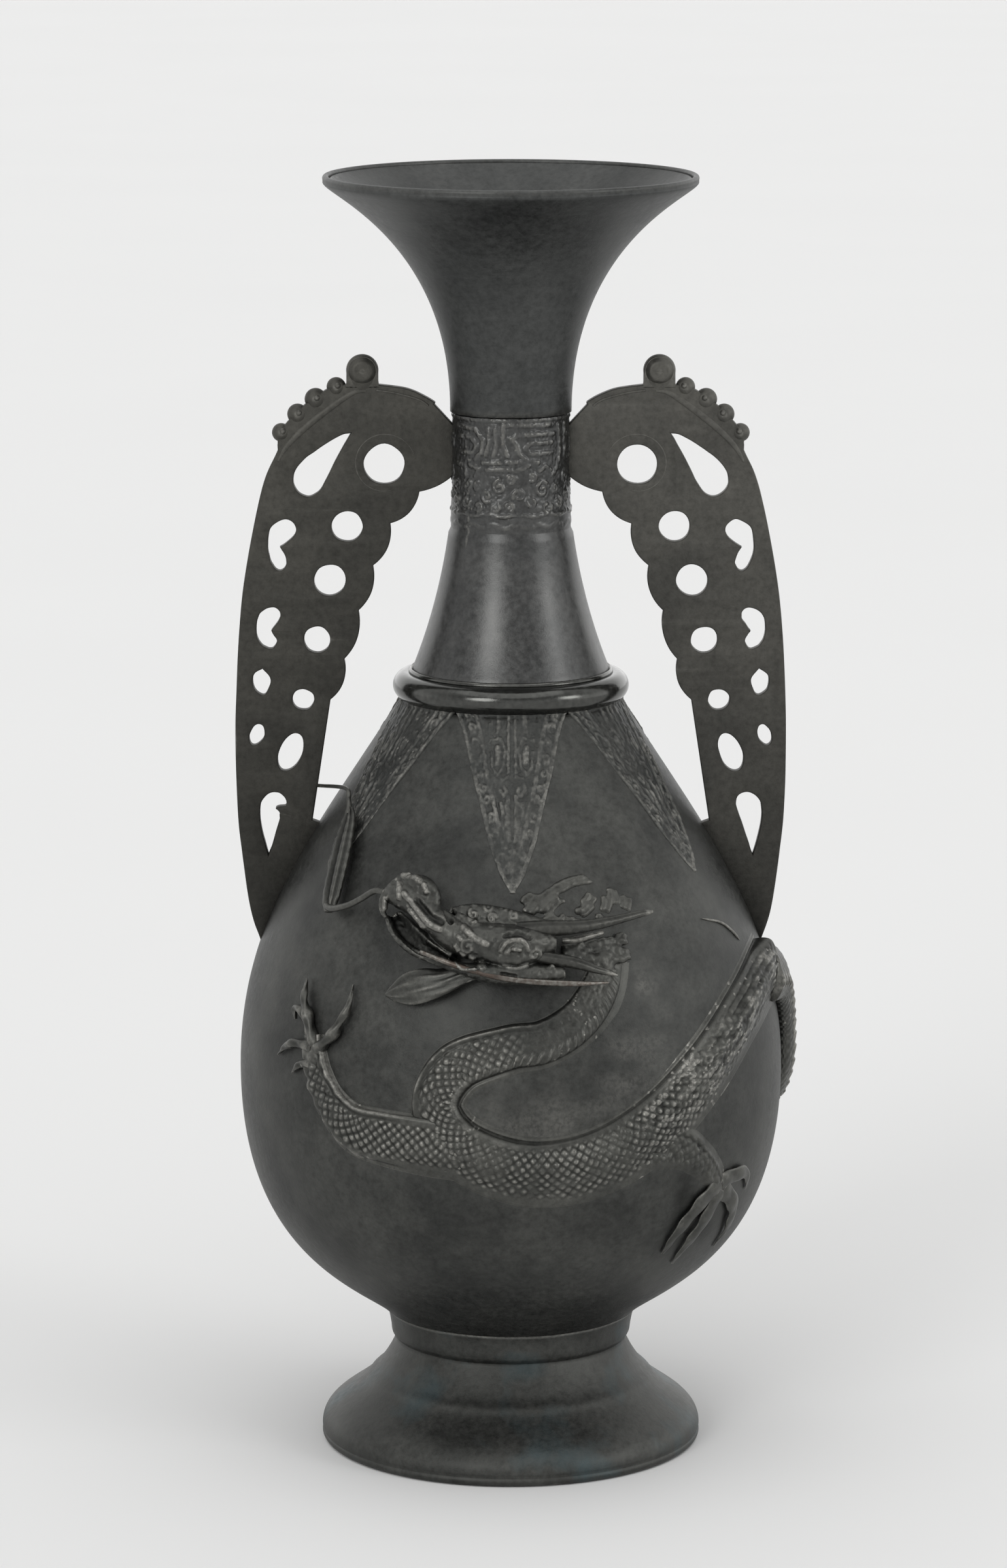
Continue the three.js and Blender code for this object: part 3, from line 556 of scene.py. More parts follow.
BAND_CURLS = [
    (9.3, 7.8, 2.4, 20, 1.3), (2.3, 6.4, 1.8, 200, -1.2), (-3.2, 8.8, 2.0, 90, 1.2),
    (-6.9, 6.2, 1.8, 300, -1.2), (-13.3, 9.3, 1.7, 160, 1.2), (-14.0, 4.4, 1.7, 20, -1.2),
    (-9.5, 3.2, 1.5, 220, 1.2), (-10.0, 8.6, 1.3, 90, 1.1), (-4.6, 3.0, 1.5, 40, -1.1),
    (-0.6, 3.4, 1.4, 300, 1.1), (5.9, 4.6, 1.6, 140, 1.2), (10.8, 3.0, 1.6, 10, -1.2),
    (6.2, 11.6, 1.3, 250, 1.1), (0.2, 10.6, 1.4, 30, 1.2), (13.8, 8.0, 1.4, 200, 1.1),
    (15.0, 4.0, 1.5, 60, -1.2), (19.2, 10.6, 2.2, 30, 1.2), (19.6, 5.0, 1.7, 150, -1.2),
    (23.6, 8.4, 1.7, 20, 1.1), (-19.4, 8.6, 2.2, 210, 1.3), (-18.6, 3.8, 1.6, 30, 1.1),
    (-23.4, 11.6, 1.9, 90, -1.2), (-23.2, 5.4, 1.7, 0, 1.2), (-22.6, 20.2, 2.4, 40, 1.3)]


def wavy(low, high, level, depth, step):
    u = np.arange(low, high, 0.7)
    return np.column_stack([u, level + depth * np.sin(2 * math.pi * u / step)])


def band_strokes():
    """An archaic scroll motif round half of the neck, with a waving border and a fringe under it."""
    half = BAND_TURN / BAND_MOTIFS / 2
    strokes = [(line, 0.62, 0.42) for line in BAND_LINES]
    strokes += [(spiral((u, v), start, turn, size), 0.5, 0.4) for u, v, size, start, turn in BAND_CURLS]
    strokes.append((wavy(-half, half + 1, 0.9, 0.35, half / 3), 0.55, 0.4))
    strokes.append(([(-half, BAND_HEIGHT - 0.6), (half, BAND_HEIGHT - 0.6)], 0.5, 0.3))
    strokes.append((wavy(-half, half + 1, -2.3, 0.5, half / 4), 0.6, 0.16))
    return strokes


def band_lift(angle, height):
    """Relief of the chased band and its wear, by angle and height."""
    share = ((angle / 360 * BAND_MOTIFS + 0.5) % 1) - 0.5
    u = share * BAND_TURN / BAND_MOTIFS
    v = height - BAND_FOOT
    broken = ease(smooth_noise(angle / 4 + 5, v / 1.3, 19), -0.8, 0.3)
    relief = stroke_height(u, v, band_strokes()) * (0.45 + 0.55 * broken)
    pits = 0.1 * smooth_noise(u / 0.7 + 30, v / 0.7 + 30, 6) * ease(v, 0.4, 1.2)
    patch = 0.72 + 0.45 * smooth_noise(angle / 16, v / 5, 8)
    sunk = 0.14 * ease(v, 0.8, 1.6)
    return relief + pits - sunk, (relief * 2.1 - 0.22 * ease(v, 0.4, 1.0)) * patch + 1.2 * pits


def neck_piece():
    taper = neck_outline(60)
    start_height = BAND_FOOT - FRINGE_DEPTH
    plain = taper[taper[:, 1] < start_height - 0.6]
    rows = np.arange(start_height, NECK_TOP - 0.02, 0.23)
    band = np.column_stack([np.interp(rows, taper[:, 1], taper[:, 0]), rows])
    raised = ease(rows, BAND_FOOT - 0.1, BAND_FOOT + 0.5)
    band[:, 0] = np.minimum(band[:, 0], NECK_RADIUS + 0.6 - 0.25 * raised) + 0.28 * raised
    inside = inset(taper, WALL)
    inside = inside[inside[:, 1] > 223][::6][::-1]
    profile = np.vstack([
        [(27.6, 207.5), (27.6, 221.8)], plain, band,
        [(NECK_RADIUS + 0.3, NECK_TOP), (15.0, NECK_TOP), (15.0, 300.2), (13.6, 300.2), (13.6, 280)], inside,
        [(25.1, 220), (25.1, 207.5)]])
    angles = np.linspace(0, 360, BAND_TURNS, endpoint=False)
    radius = np.broadcast_to(profile[:, 0], (BAND_TURNS, len(profile))).copy()
    height = np.broadcast_to(profile[:, 1], (BAND_TURNS, len(profile)))
    marks = np.zeros(radius.shape)
    start = 2 + len(plain)
    cols = slice(start, start + len(band))
    grid = np.broadcast_to(angles[:, None], (BAND_TURNS, len(band)))
    lift, marks[:, cols] = band_lift(grid, height[:, cols])
    radius[:, cols] += lift
    outside = slice(0, start + len(band))
    radius[:, outside] += wobble(0.1, 5, 21)(angles[:, None], height, radius)[:, outside]
    rings = around(angles[:, None], radius, height)
    piece = ring_mesh("neck_with_band", rings, neck_bronze, closed=True, marks=marks)
    settle(piece, "dark_bronze", "neck")


LAPPETS = 6
FIRST_LAPPET_ANGLE = 0.4
LAPPET_TOP = 214.2
LAPPET_TIP = 169.7
LAPPET_SCROLLS = 11

# Half of a hanging lappet: millimetres across from its middle and down from its top
LAPPET_EDGE = [
    (16.0, -0.5), (13.6, 5.0), (12.3, 9.4), (11.2, 14.0), (9.7, 19.0), (8.2, 24.0), (5.9, 32.6), (2.6, 40.6),
    (0, 44.4)]
LAPPET_INNER = [(10.6, -0.5), (8.9, 5.3), (7.4, 13.5), (6.2, 19.0), (4.5, 25.0), (2.7, 32.4), (0, 39.6)]
LAPPET_LINES = [
    ([(0.95, 0), (1.0, 8.5), (1.15, 14.6)], 0.42, 0.4),
    ([(6.0, 6.6), (3.2, 6.0), (1.9, 9.0), (2.6, 13.2), (4.2, 15.4), (5.6, 13.4), (5.8, 9.6)], 0.42, 0.32),
    ([(4.0, 8.6), (3.9, 12.2)], 0.85, 0.5),
    ([(3.6, 0.2), (4.0, 4.4)], 0.6, 0.34),
    ([(1.2, 15.8), (3.0, 16.6), (3.6, 19.0), (2.4, 20.6), (1.6, 19.4), (2.3, 18.2)], 0.5, 0.42),
    ([(1.0, 20.8), (1.5, 23.0), (0.9, 25.4)], 0.6, 0.42),
    ([(3.2, 22.4), (2.6, 25.6)], 0.5, 0.36),
    ([(1.5, 26.2), (1.0, 31.8)], 0.75, 0.5),
    ([(2.5, 28.6), (1.5, 33.8)], 0.45, 0.36),
    ([(0.6, 34.4), (0.4, 37.4)], 0.5, 0.4)]


def lappet_strokes():
    """A hanging triangle with a double border of scrolls and flames inside it."""
    outer, inner = smooth_rows(LAPPET_EDGE, 40), smooth_rows(LAPPET_INNER, 40)
    side = [(outer, 0.65, 0.45), (inner, 0.6, 0.42), *LAPPET_LINES]
    for i in range(LAPPET_SCROLLS):
        step = int((i + 0.4) / LAPPET_SCROLLS * 39)
        x, y = (outer[step] + inner[step]) / 2
        side.append((spiral((x, y), 90 + 50 * i, 0.9, 1.35, 12), 0.5, 0.4))
    return side + [(mirrored(points), width, height) for points, width, height in side]


def lappet_piece(number, centre):
    """A thin skin of relief, laid on the shoulder and closed underneath."""
    length = LAPPET_TOP - LAPPET_TIP
    down, across = 200, 140
    v = np.linspace(0, length + 0.5, down)[:, None]
    edge = np.array(LAPPET_EDGE)
    reach = np.interp(v, edge[:, 1], edge[:, 0]) + 0.8
    u = reach * np.linspace(-1, 1, across)[None, :]
    v = np.broadcast_to(v, u.shape)
    patch = 0.72 + 0.5 * smooth_noise(u / 5 + 7 * number, v / 6, 22)
    broken = ease(smooth_noise(u / 1.5 + 9 * number, v / 1.5, 27), -0.75, 0.25)
    relief = stroke_height(u, v, lappet_strokes()) * (0.55 + 0.45 * broken)
    pits = 0.13 * smooth_noise(u / 0.8 + 20, v / 0.8, 23)
    lift = 0.05 + relief * patch + pits
    height = LAPPET_TOP - v * 0.985
    angle = centre + np.degrees(u / radius_at(height - 2))
    lift[:, 0] = lift[:, -1] = -0.25
    marks = (1.9 * relief - 0.12) * patch + 2.0 * pits + 0.5 * ease(v, length - 4, length - 1)
    picks = [-1, across // 2, 0]
    top = on(angle, height - BELLY_HEIGHT, lift)
    under = on(angle[:, picks], height[:, picks] - BELLY_HEIGHT, -0.6)
    rings = np.concatenate([top, under], 1)
    piece = ring_mesh(f"lappet_{number}", rings, lappet_bronze, marks=np.pad(marks, ((0, 0), (0, 3))))
    settle(piece, "dark_bronze")


# Handles: flat pierced plates. A place is a share of the line between their ends and millimetres out

HANDLE_START = np.array([16.9, 283.7])
HANDLE_TIP_HEIGHT = BELLY_HEIGHT + 34.7
HANDLE_HEEL_HEIGHT = BELLY_HEIGHT + 70
HANDLE_THICKNESS = 3.6
HANDLE_ROOT = 15.9
HANDLE_SEAT_HEIGHTS = (276.7, 290.7)
HANDLE_BEVEL = 0.45
HANDLE_SHARP_ANGLE = 16
SEAT_SCALLOP_DEPTH = 0.8
SCALLOP_DEPTH = 1.9
KNOB_PLATE_RADIUS = 3.5
HANDLE_END = np.array([float(radius_at(HANDLE_TIP_HEIGHT)) + 0.3, HANDLE_TIP_HEIGHT])
HANDLE_WAY = HANDLE_END - HANDLE_START
HANDLE_UNIT = HANDLE_WAY / np.linalg.norm(HANDLE_WAY)
HANDLE_ACROSS = np.array([-HANDLE_UNIT[1], HANDLE_UNIT[0]])

SCALLOPS = [(0.093, 3.7), (0.168, 8.1), (0.253, 8.3), (0.342, 7.6), (0.437, 6.4), (0.518, 5.9)]
OUTER_EDGE = [
    (0.946, 5.5), (0.858, 12.9), (0.768, 19.6), (0.6, 29.6), (0.394, 39.3), (0.2, 44.7), (0.115, 44.6)]
CURLS = [(0.083, 45.4, 2.6), (0.04, 43.0, 2.9), (0.002, 39.8, 3.1), (-0.033, 35.7, 2.7)]
LOBE_EDGE = [(0.106, 45.2), (0.083, 45.9), (0.04, 43.7), (0.002, 40.6), (-0.033, 36.6), (-0.042, 34.2)]
KNOB = (-0.079, 30.6)
CREST_STRIP = [(0.135, 43.4), (0.103, 42.6), (0.063, 40.1), (0.012, 35.7), (-0.033, 31.0), (-0.047, 27.6)]
CREST = [(-0.066, 24.8), (-0.073, 20.8), (-0.078, 16.7), (-0.077, 12.2), (-0.073, 8.8), (-0.069, 8.6)]
ROUND_HOLES = [
    ((0.0685, 15.6), 5.6, 5.6), ((0.202, 19.0), 4.3, 4.3), ((0.308, 18.1), 4.4, 4.4),
    ((0.421, 15.4), 3.7, 3.7), ((0.536, 13.0), 3.0, 3.0), ((0.6375, 11.0), 3.1, 5.6),
    ((0.629, 21.5), 1.9, 3.1)]

# Holes with a point or a cusp: each starts there and runs round
SHAPED_HOLES = [
    [(0.037, 27.3), (0.048, 29.8), (0.070, 32.5), (0.092, 34.8), (0.114, 36.8), (0.140, 37.9), (0.162, 37.2),
     (0.175, 34.9), (0.176, 32.2), (0.163, 30.1), (0.139, 29.2), (0.099, 28.7), (0.062, 27.9)],
    [(0.283, 34.4), (0.271, 33.0), (0.250, 31.7), (0.235, 32.6), (0.231, 35.7), (0.252, 38.5), (0.275, 38.2),
     (0.299, 36.9), (0.317, 34.8), (0.325, 32.7), (0.320, 31.3), (0.305, 31.2), (0.292, 32.6)],
    [(0.436, 28.4), (0.424, 27.8), (0.409, 27.3), (0.397, 28.0), (0.394, 30.0), (0.405, 32.3), (0.423, 33.0),
     (0.445, 32.2), (0.461, 30.6), (0.469, 28.4), (0.467, 26.3), (0.451, 25.8), (0.442, 27.1)],
    [(0.509, 26.7), (0.522, 23.6), (0.545, 23.2), (0.555, 24.1), (0.549, 26.9), (0.526, 28.4)]]
FOOT_HOLE = [
    (0.835, 6.4), (0.806, 9.6), (0.775, 12.3), (0.745, 13.6), (0.726, 12.4), (0.718, 10.0), (0.724, 7.8),
    (0.741, 6.9), (0.775, 6.8), (0.81, 6.5)]
CHIPPED_FOOT_HOLE = FOOT_HOLE[:7] + [
    (0.736, 6.9), (0.743, 8.6), (0.748, 9.2), (0.752, 8.0), (0.757, 7.6), (0.764, 7.2), (0.79, 6.8),
    (0.81, 6.5)]


def plot(place):
    place = np.asarray(place, float)
    return HANDLE_START + place[..., :1] * HANDLE_WAY + place[..., 1:] * HANDLE_ACROSS


def oval_in_handle(centre, across, along):
    a = np.linspace(0, 2 * math.pi, 36, endpoint=False)[:, None]
    return plot(centre) + across * np.cos(a) * HANDLE_ACROSS + along * np.sin(a) * HANDLE_UNIT


def hole_outline(places):
    return smooth_rows(plot([*places, places[0]]), 8 * len(places))[:-1]


def hand_cut(points, amount, seed):
    """Small waves in a line, as a file leaves them."""
    random = np.random.default_rng(seed)
    shift = random.normal(0, 1, (len(points), 2))
    for _ in range(4):
        shift = (np.roll(shift, 1, 0) + shift + np.roll(shift, -1, 0)) / 3
    return points + amount * shift


def handle_outline():
    corner = [np.array([HANDLE_ROOT, HANDLE_SEAT_HEIGHTS[0]])]
    for i, cusp in enumerate(SCALLOPS):
        end = plot(cusp)
        start = corner[-1]
        way = end - start
        out = np.array([way[1], -way[0]]) / np.linalg.norm(way)
        depth = SEAT_SCALLOP_DEPTH if i == 0 else SCALLOP_DEPTH
        t = np.linspace(0, 1, 15)[1:, None]
        corner += list(start + way * t + out * 4 * depth * t * (1 - t))
    heights = np.linspace(HANDLE_HEEL_HEIGHT, HANDLE_TIP_HEIGHT, 40)
    wall = np.column_stack([radius_at(heights) - 0.5, heights])
    wall[0, 0] += 3
    outer = smooth_rows([wall[-1], *plot(OUTER_EDGE)], 90)[1:]
    lobes = smooth_rows(plot(LOBE_EDGE), 50)
    a = np.radians(np.linspace(180, 0, 26))
    dome = plot(KNOB) + KNOB_PLATE_RADIUS * np.column_stack([np.cos(a), np.sin(a)])
    dome = np.vstack([dome[0] - (0.6, 4.2), dome, dome[-1] - (-0.6, 4.2)])
    crest = smooth_rows([plot(p) for p in CREST], 24)
    return np.vstack([corner, wall, outer, lobes, dome, crest, [(HANDLE_ROOT, HANDLE_SEAT_HEIGHTS[1])]])


def add_spline(data, points):
    spline = data.splines.new("POLY")
    spline.points.add(len(points) - 1)
    for slot, (x, z) in zip(spline.points, points):
        slot.co = (x * MM, z * MM, 0, 1)
    spline.use_cyclic_u = True


def plate_points(outlines, thickness, bevel):
    """A flat plate with rounded edges from outlines, as a mesh in the plane of X and Z."""
    data = bpy.data.curves.new("plate", "CURVE")
    data.dimensions = "2D"
    data.fill_mode = "BOTH"
    data.extrude = (thickness / 2 - bevel) * MM
    data.bevel_depth = bevel * MM
    data.bevel_resolution = 2
    data.offset = -bevel * MM
    for outline in outlines:
        add_spline(data, outline)
    drawn = bpy.data.objects.new("plate", data)
    bpy.context.scene.collection.objects.link(drawn)
    bpy.context.view_layer.update()
    mesh = bpy.data.meshes.new_from_object(drawn.evaluated_get(bpy.context.evaluated_depsgraph_get()))
    bpy.data.objects.remove(drawn)
    bpy.data.curves.remove(data)
    work = bmesh.new()
    work.from_mesh(mesh)
    bmesh.ops.remove_doubles(work, verts=work.verts, dist=0.00001)
    bmesh.ops.rotate(work, verts=work.verts, matrix=Matrix.Rotation(math.radians(90), 3, "X"))
    bmesh.ops.recalc_face_normals(work, faces=work.faces)
    work.to_mesh(mesh)
    work.free()
    return mesh


def ball_points(centre, size, dimple=0.0, steps=28):
    """A round bead with its poles front and back, and a dimple at each pole."""
    a = np.linspace(0, math.pi, steps)[:, None]
    b = np.linspace(0, 2 * math.pi, 2 * steps, endpoint=False)[None, :]
    polar = np.minimum(a, math.pi - a)
    depth = 1 - dimple * bell(polar, 0, 0.34) + 0.5 * dimple * bell(polar, 0.62, 0.16)
    x = centre[0] + size[0] * np.sin(a) * np.cos(b)
    y = centre[1] - size[1] * np.cos(a) * depth + 0 * b
    z = centre[2] + size[2] * np.sin(a) * np.sin(b)
    return np.stack(np.broadcast_arrays(x, y, z), -1)


def tube_rings(path, across, out, sides=14):
    """Rings of a tube in the plane of X and Z. path is n by 2; sizes are numbers or one each."""
    path = np.asarray(path, float)
    way = np.gradient(path, axis=0)
    way /= np.linalg.norm(way, axis=1)[:, None]
    normal = np.column_stack([-way[:, 1], way[:, 0]])
    a = np.linspace(0, 2 * math.pi, sides, endpoint=False)
    across = np.broadcast_to(across, len(path))[:, None]
    out = np.broadcast_to(out, len(path))[:, None]
    x = path[:, :1] + normal[:, :1] * across * np.cos(a)
    z = path[:, 1:] + normal[:, 1:] * across * np.cos(a)
    y = out * np.sin(a) + 0 * x
    return np.stack([x, y, z], -1)


def handle_parts():
    """The beads, strips and faint scroll lines that stand on the plate, as rings with their wear."""
    half = HANDLE_THICKNESS / 2
    parts = []
    for at, across, size in CURLS:
        x, z = plot((at, across))
        parts.append((ball_points((x, 0, z), (size, half + 0.7, size), 0.0, 16), 0.1))
        parts.append((ball_points((x - 0.4, 0, z + 0.5), (1.3, half + 1.25, 1.3), 0.0, 14), 0.6))
    x, z = plot(KNOB)
    parts.append((ball_points((x, 0, z), (4.5, half + 1.6, 4.5), 0.16), 0.1))
    stem = np.column_stack([np.full(12, x), z - np.linspace(0, 6.5, 12)])
    parts.append((tube_rings(stem, 4.45, half + np.linspace(1.3, -0.3, 12)), 0.0))
    strip = smooth_rows(CREST_STRIP, 60)
    swell = np.sin(np.linspace(0.12, 3.02, 60)) ** 0.4
    parts.append((tube_rings(plot(strip), 1.7 * swell, half + 0.4 * swell), 0.22))
    crest = smooth_rows([(-0.055, 25.0), (-0.063, 19.6), (-0.067, 13.2), (-0.063, 10.0)], 40)
    parts.append((tube_rings(plot(crest), 0.7, half + 0.3), 0.1))
    a = np.linspace(-2.6, 2.2, 60)
    size = np.linspace(8.8, 7.4, 60)
    centre = plot(ROUND_HOLES[0][0])
    volute = centre + size[:, None] * (np.cos(a)[:, None] * HANDLE_ACROSS + np.sin(a)[:, None] * HANDLE_UNIT)
    parts.append((tube_rings(volute, 0.6 * np.sin(np.linspace(0.1, 3.04, 60)) ** 0.5, half + 0.12), 0.12))
    return parts


def handle_piece(side):
    name = "right" if side > 0 else "left"
    seed = 40 if side > 0 else 70
    outlines = [hand_cut(handle_outline(), 0.05, seed)]
    for i, (at, across, along) in enumerate(ROUND_HOLES):
        outlines.append(hand_cut(oval_in_handle(at, across, along), 0.22, seed + i))
    foot_hole = FOOT_HOLE if side > 0 else CHIPPED_FOOT_HOLE
    for i, hole in enumerate([*SHAPED_HOLES, foot_hole]):
        outlines.append(hand_cut(hole_outline(hole), 0.1, seed + 20 + i))
    mesh = plate_points(outlines, HANDLE_THICKNESS, HANDLE_BEVEL)
    piece = bpy.data.objects.new(f"{name}_pierced_handle", mesh)
    bpy.context.scene.collection.objects.link(piece)
    mesh.materials.clear()
    # The right handle takes the paler copy, painted light for the brighter right side.
    material = right_handle_lit_bronze if side > 0 else left_handle_bronze
    mesh.materials.append(material)
    mesh.polygons.foreach_set("use_smooth", [True] * len(mesh.polygons))
    mesh.set_sharp_from_angle(angle=math.radians(HANDLE_SHARP_ANGLE))
    trims = []
    for i, (rings, mark) in enumerate(handle_parts()):
        trims.append(ring_mesh(f"{name}_handle_trim_{i + 1}", rings, material, marks=mark))
    if side < 0:
        turn = Matrix.Rotation(math.pi, 4, "Z")
        for made in (piece, *trims):
            made.data.transform(turn)
    settle(piece, "handle_bronze", f"{name}_handle")
    for trim in trims:
        settle(trim, "handle_bronze")


# Relief and limbs that follow a route on the body

def scales(run, offset, pitch):
    """Rounded lozenges in rows: 1 in the middle of a scale, 0 between them."""
    warp = 0.2 * smooth_noise(run / 4, offset / 4, 5)
    p = 2 * (((run + offset) / pitch + warp) % 1) - 1
    q = 2 * (((run - offset) / pitch - warp) % 1) - 1
    far = (np.abs(p) ** 2.6 + np.abs(q) ** 2.6) ** (1 / 2.6)
    return np.clip(1 - far**1.8, 0, 1) * (0.85 + 0.15 * (p + q))


def run_of(place):
    steps = np.linalg.norm(np.diff(place, axis=0), axis=1)
    return np.concatenate([[0], np.cumsum(steps)])[:, None]


def stations(rows, count, end=()):
    """Places along a smooth route. A row is angle, level, lift and sizes; end adds points with sizes."""
    rows = np.array(rows, float)
    knots = np.hstack([on(rows[:, 0], rows[:, 1], rows[:, 2]), rows[:, 3:]])
    line = smooth_rows(np.vstack([knots, *end]), count)
    place = line[:, :3]
    forward = np.gradient(place, axis=0)
    forward /= np.linalg.norm(forward, axis=1)[:, None]
    side = np.cross(forward, normals_at(place))
    side /= np.linalg.norm(side, axis=1)[:, None]
    return place, side, np.cross(side, forward), line[:, 3:]


def band(rows, counts, margins, lift_of):
    """Rings of a band that lies on the body. A row is angle, level, half width and height."""
    place, side, _, sizes = stations([(a, b, 0, half, height) for a, b, half, height in rows], counts[0])
    half, height = sizes[:, :1], sizes[:, 1:]
    share = np.linspace(0, 1, counts[1])
    offset = (half + margins[1]) * share - (half + margins[0]) * (1 - share)
    angle, level = place_of(place[:, None] + side[:, None] * offset[..., None])
    step = np.linspace(0, len(rows) - 1, counts[0])[:, None]
    lift, mark = lift_of(run_of(place), step, half + offset, half - offset, height)
    lift[:, [0, -1]] = -0.4
    lift[[0, -1]] = -0.4
    under = np.full((counts[0], 3), -1.2)
    picks = [-1, counts[1] // 2, 0]
    angle = np.hstack([angle, angle[:, picks]])
    level = np.hstack([level, level[:, picks]])
    rings = on(angle, level, np.hstack([lift, under]))
    return rings, np.pad(np.broadcast_to(mark, lift.shape), ((0, 0), (0, 3)))


def limb(rows, count, sides, relief=None, end=()):
    """Rings of a tapering limb. A row is angle, level, lift of its centre, half width, half height."""
    place, side, up, sizes = stations(rows, count, end)
    a = np.linspace(0, 2 * math.pi, sides, endpoint=False)[None, :]
    across, out = sizes[:, :1] * np.cos(a), sizes[:, -1:] * np.sin(a)
    reach = np.hypot(across, out)
    grow = np.zeros(across.shape) if relief is None else relief(run_of(place), a, reach) + 0 * across
    scale = 1 + grow / np.maximum(reach, 0.3)
    sideways = side[:, None] * (across * scale)[..., None]
    outwards = up[:, None] * (out * scale)[..., None]
    return place[:, None] + sideways + outwards, grow * 2


def shells(name, parts, material):
    """One mesh of several closed shells, each given as rings and their wear."""
    points, faces, marks = [], [], []
    first = 0
    for rings, mark in parts:
        rows, columns = rings.shape[:2]
        points.append(rings.reshape(-1, 3))
        marks.append(np.broadcast_to(mark, (rows, columns)).reshape(-1))
        faces += ring_faces(rows, columns, first)
        first += rows * columns
    return add_mesh(name, np.vstack(points), faces, material, marks=np.concatenate(marks))


# Dragon

def relief_piece(name, parts, *replaced):
    settle(shells(name, parts, relief_bronze), "relief_bronze", *replaced)


# Distance between scales
TRUNK_SCALE = 2.75
ARM_SCALE = 2.7
SHANK_SCALE = 2.6
COIL_SCALE = 2.8

NECK_AND_TRUNK = [
    (23.5, 44.5, 4.0, 0.5), (20, 36, 5.2, 0.9), (14.5, 28.2, 5.6, 1.2), (7, 23, 5.8, 1.4),
    (-1, 21.4, 6, 1.6), (-11.5, 16, 6.6, 1.8), (-15.6, 5, 6.6, 2.0), (-10.5, -6.5, 8, 2.1),
    (2.5, -13.4, 9, 2.2), (16.5, -12.2, 9.4, 2.4), (30, -4.5, 9.6, 2.7), (43.5, 8.3, 9, 3.1),
    (57, 20.3, 8.6, 3.6), (70, 27.3, 9, 4.4), (80, 29.5, 9.5, 4.9)]
COIL = [
    (77, 29.5, 1.2, 8.6, 4.2), (88, 25.5, 1.3, 7.8, 4), (96, 13, 1.2, 7, 3.8), (100, -2, 1.2, 6.2, 3.8),
    (108, -14, 1.2, 5.4, 3.6), (122, -20, 1.2, 4.2, 3.2), (136, -15, 1.2, 3.2, 2.6), (146, -4, 1.1, 2.2, 2),
    (151, 8, 1, 1, 1)]
FORE_ARM = [
    (-7, -7.6, 7.2, 1.2), (-17, -5.9, 7.8, 1.7), (-26.5, -4.8, 7.3, 1.9), (-34, -3.2, 6.6, 2.0),
    (-39.6, 2.4, 5.2, 2.0), (-43.2, 9, 4.6, 2.0), (-45.2, 15, 4.2, 1.9), (-46, 20, 3.2, 1.5)]
FORE_CLAWS = [
    [(-45, 17, 0.8, 1.5), (-47.2, 23.5, 1.7, 1.5), (-49.6, 28.6, 1.9, 1.1), (-50.9, 34, 1.2, 0.25)],
    [(-44.5, 16, 0.8, 1.6), (-40.2, 20.6, 1.8, 1.6), (-37.6, 26, 2.0, 1.2), (-36.6, 30, 1.6, 0.8),
     (-36.9, 35, 1.0, 0.2)],
    [(-46, 19, 0.8, 1.3), (-49.4, 25, 1.5, 1.2), (-52.4, 25.6, 1.5, 0.9), (-52, 22.8, 1.1, 0.4)],
    [(-45.6, 16.5, 0.8, 1.5), (-50, 16.8, 1.7, 1.3), (-53.6, 15, 1.5, 0.9), (-57, 11.8, 0.8, 0.2)],
    [(-44.6, 12.5, 0.6, 1.4), (-48.4, 11.4, 1.3, 1.2), (-51.4, 8.2, 0.8, 0.3)]]
HIND_SHANK = [
    (27, -8.5, 6.4, 0.7), (37, -9.5, 6.6, 1.0), (44.5, -15.5, 5.2, 1.2), (49.5, -22, 4.2, 1.2),
    (52, -27, 3.2, 1.1)]
HIND_CLAWS = [
    [(50.5, -23, 0.4, 1.6), (44.6, -27.6, 1.1, 1.4), (39.8, -34.8, 1.1, 1.0), (38, -41.5, 0.5, 0.25)],
    [(51.4, -25, 0.4, 1.6), (47.4, -33.5, 1.1, 1.3), (44.6, -40, 0.9, 0.9), (43.4, -46, 0.4, 0.25)],
    [(52, -25, 0.4, 1.6), (57.6, -31, 1.1, 1.3), (60, -38.5, 0.9, 0.9), (59.6, -45, 0.4, 0.25)],
    [(51, -23, 0.4, 1.6), (57, -21.8, 1.0, 1.2), (61.4, -23.8, 0.9, 0.8), (63.4, -28.4, 0.4, 0.25)]]


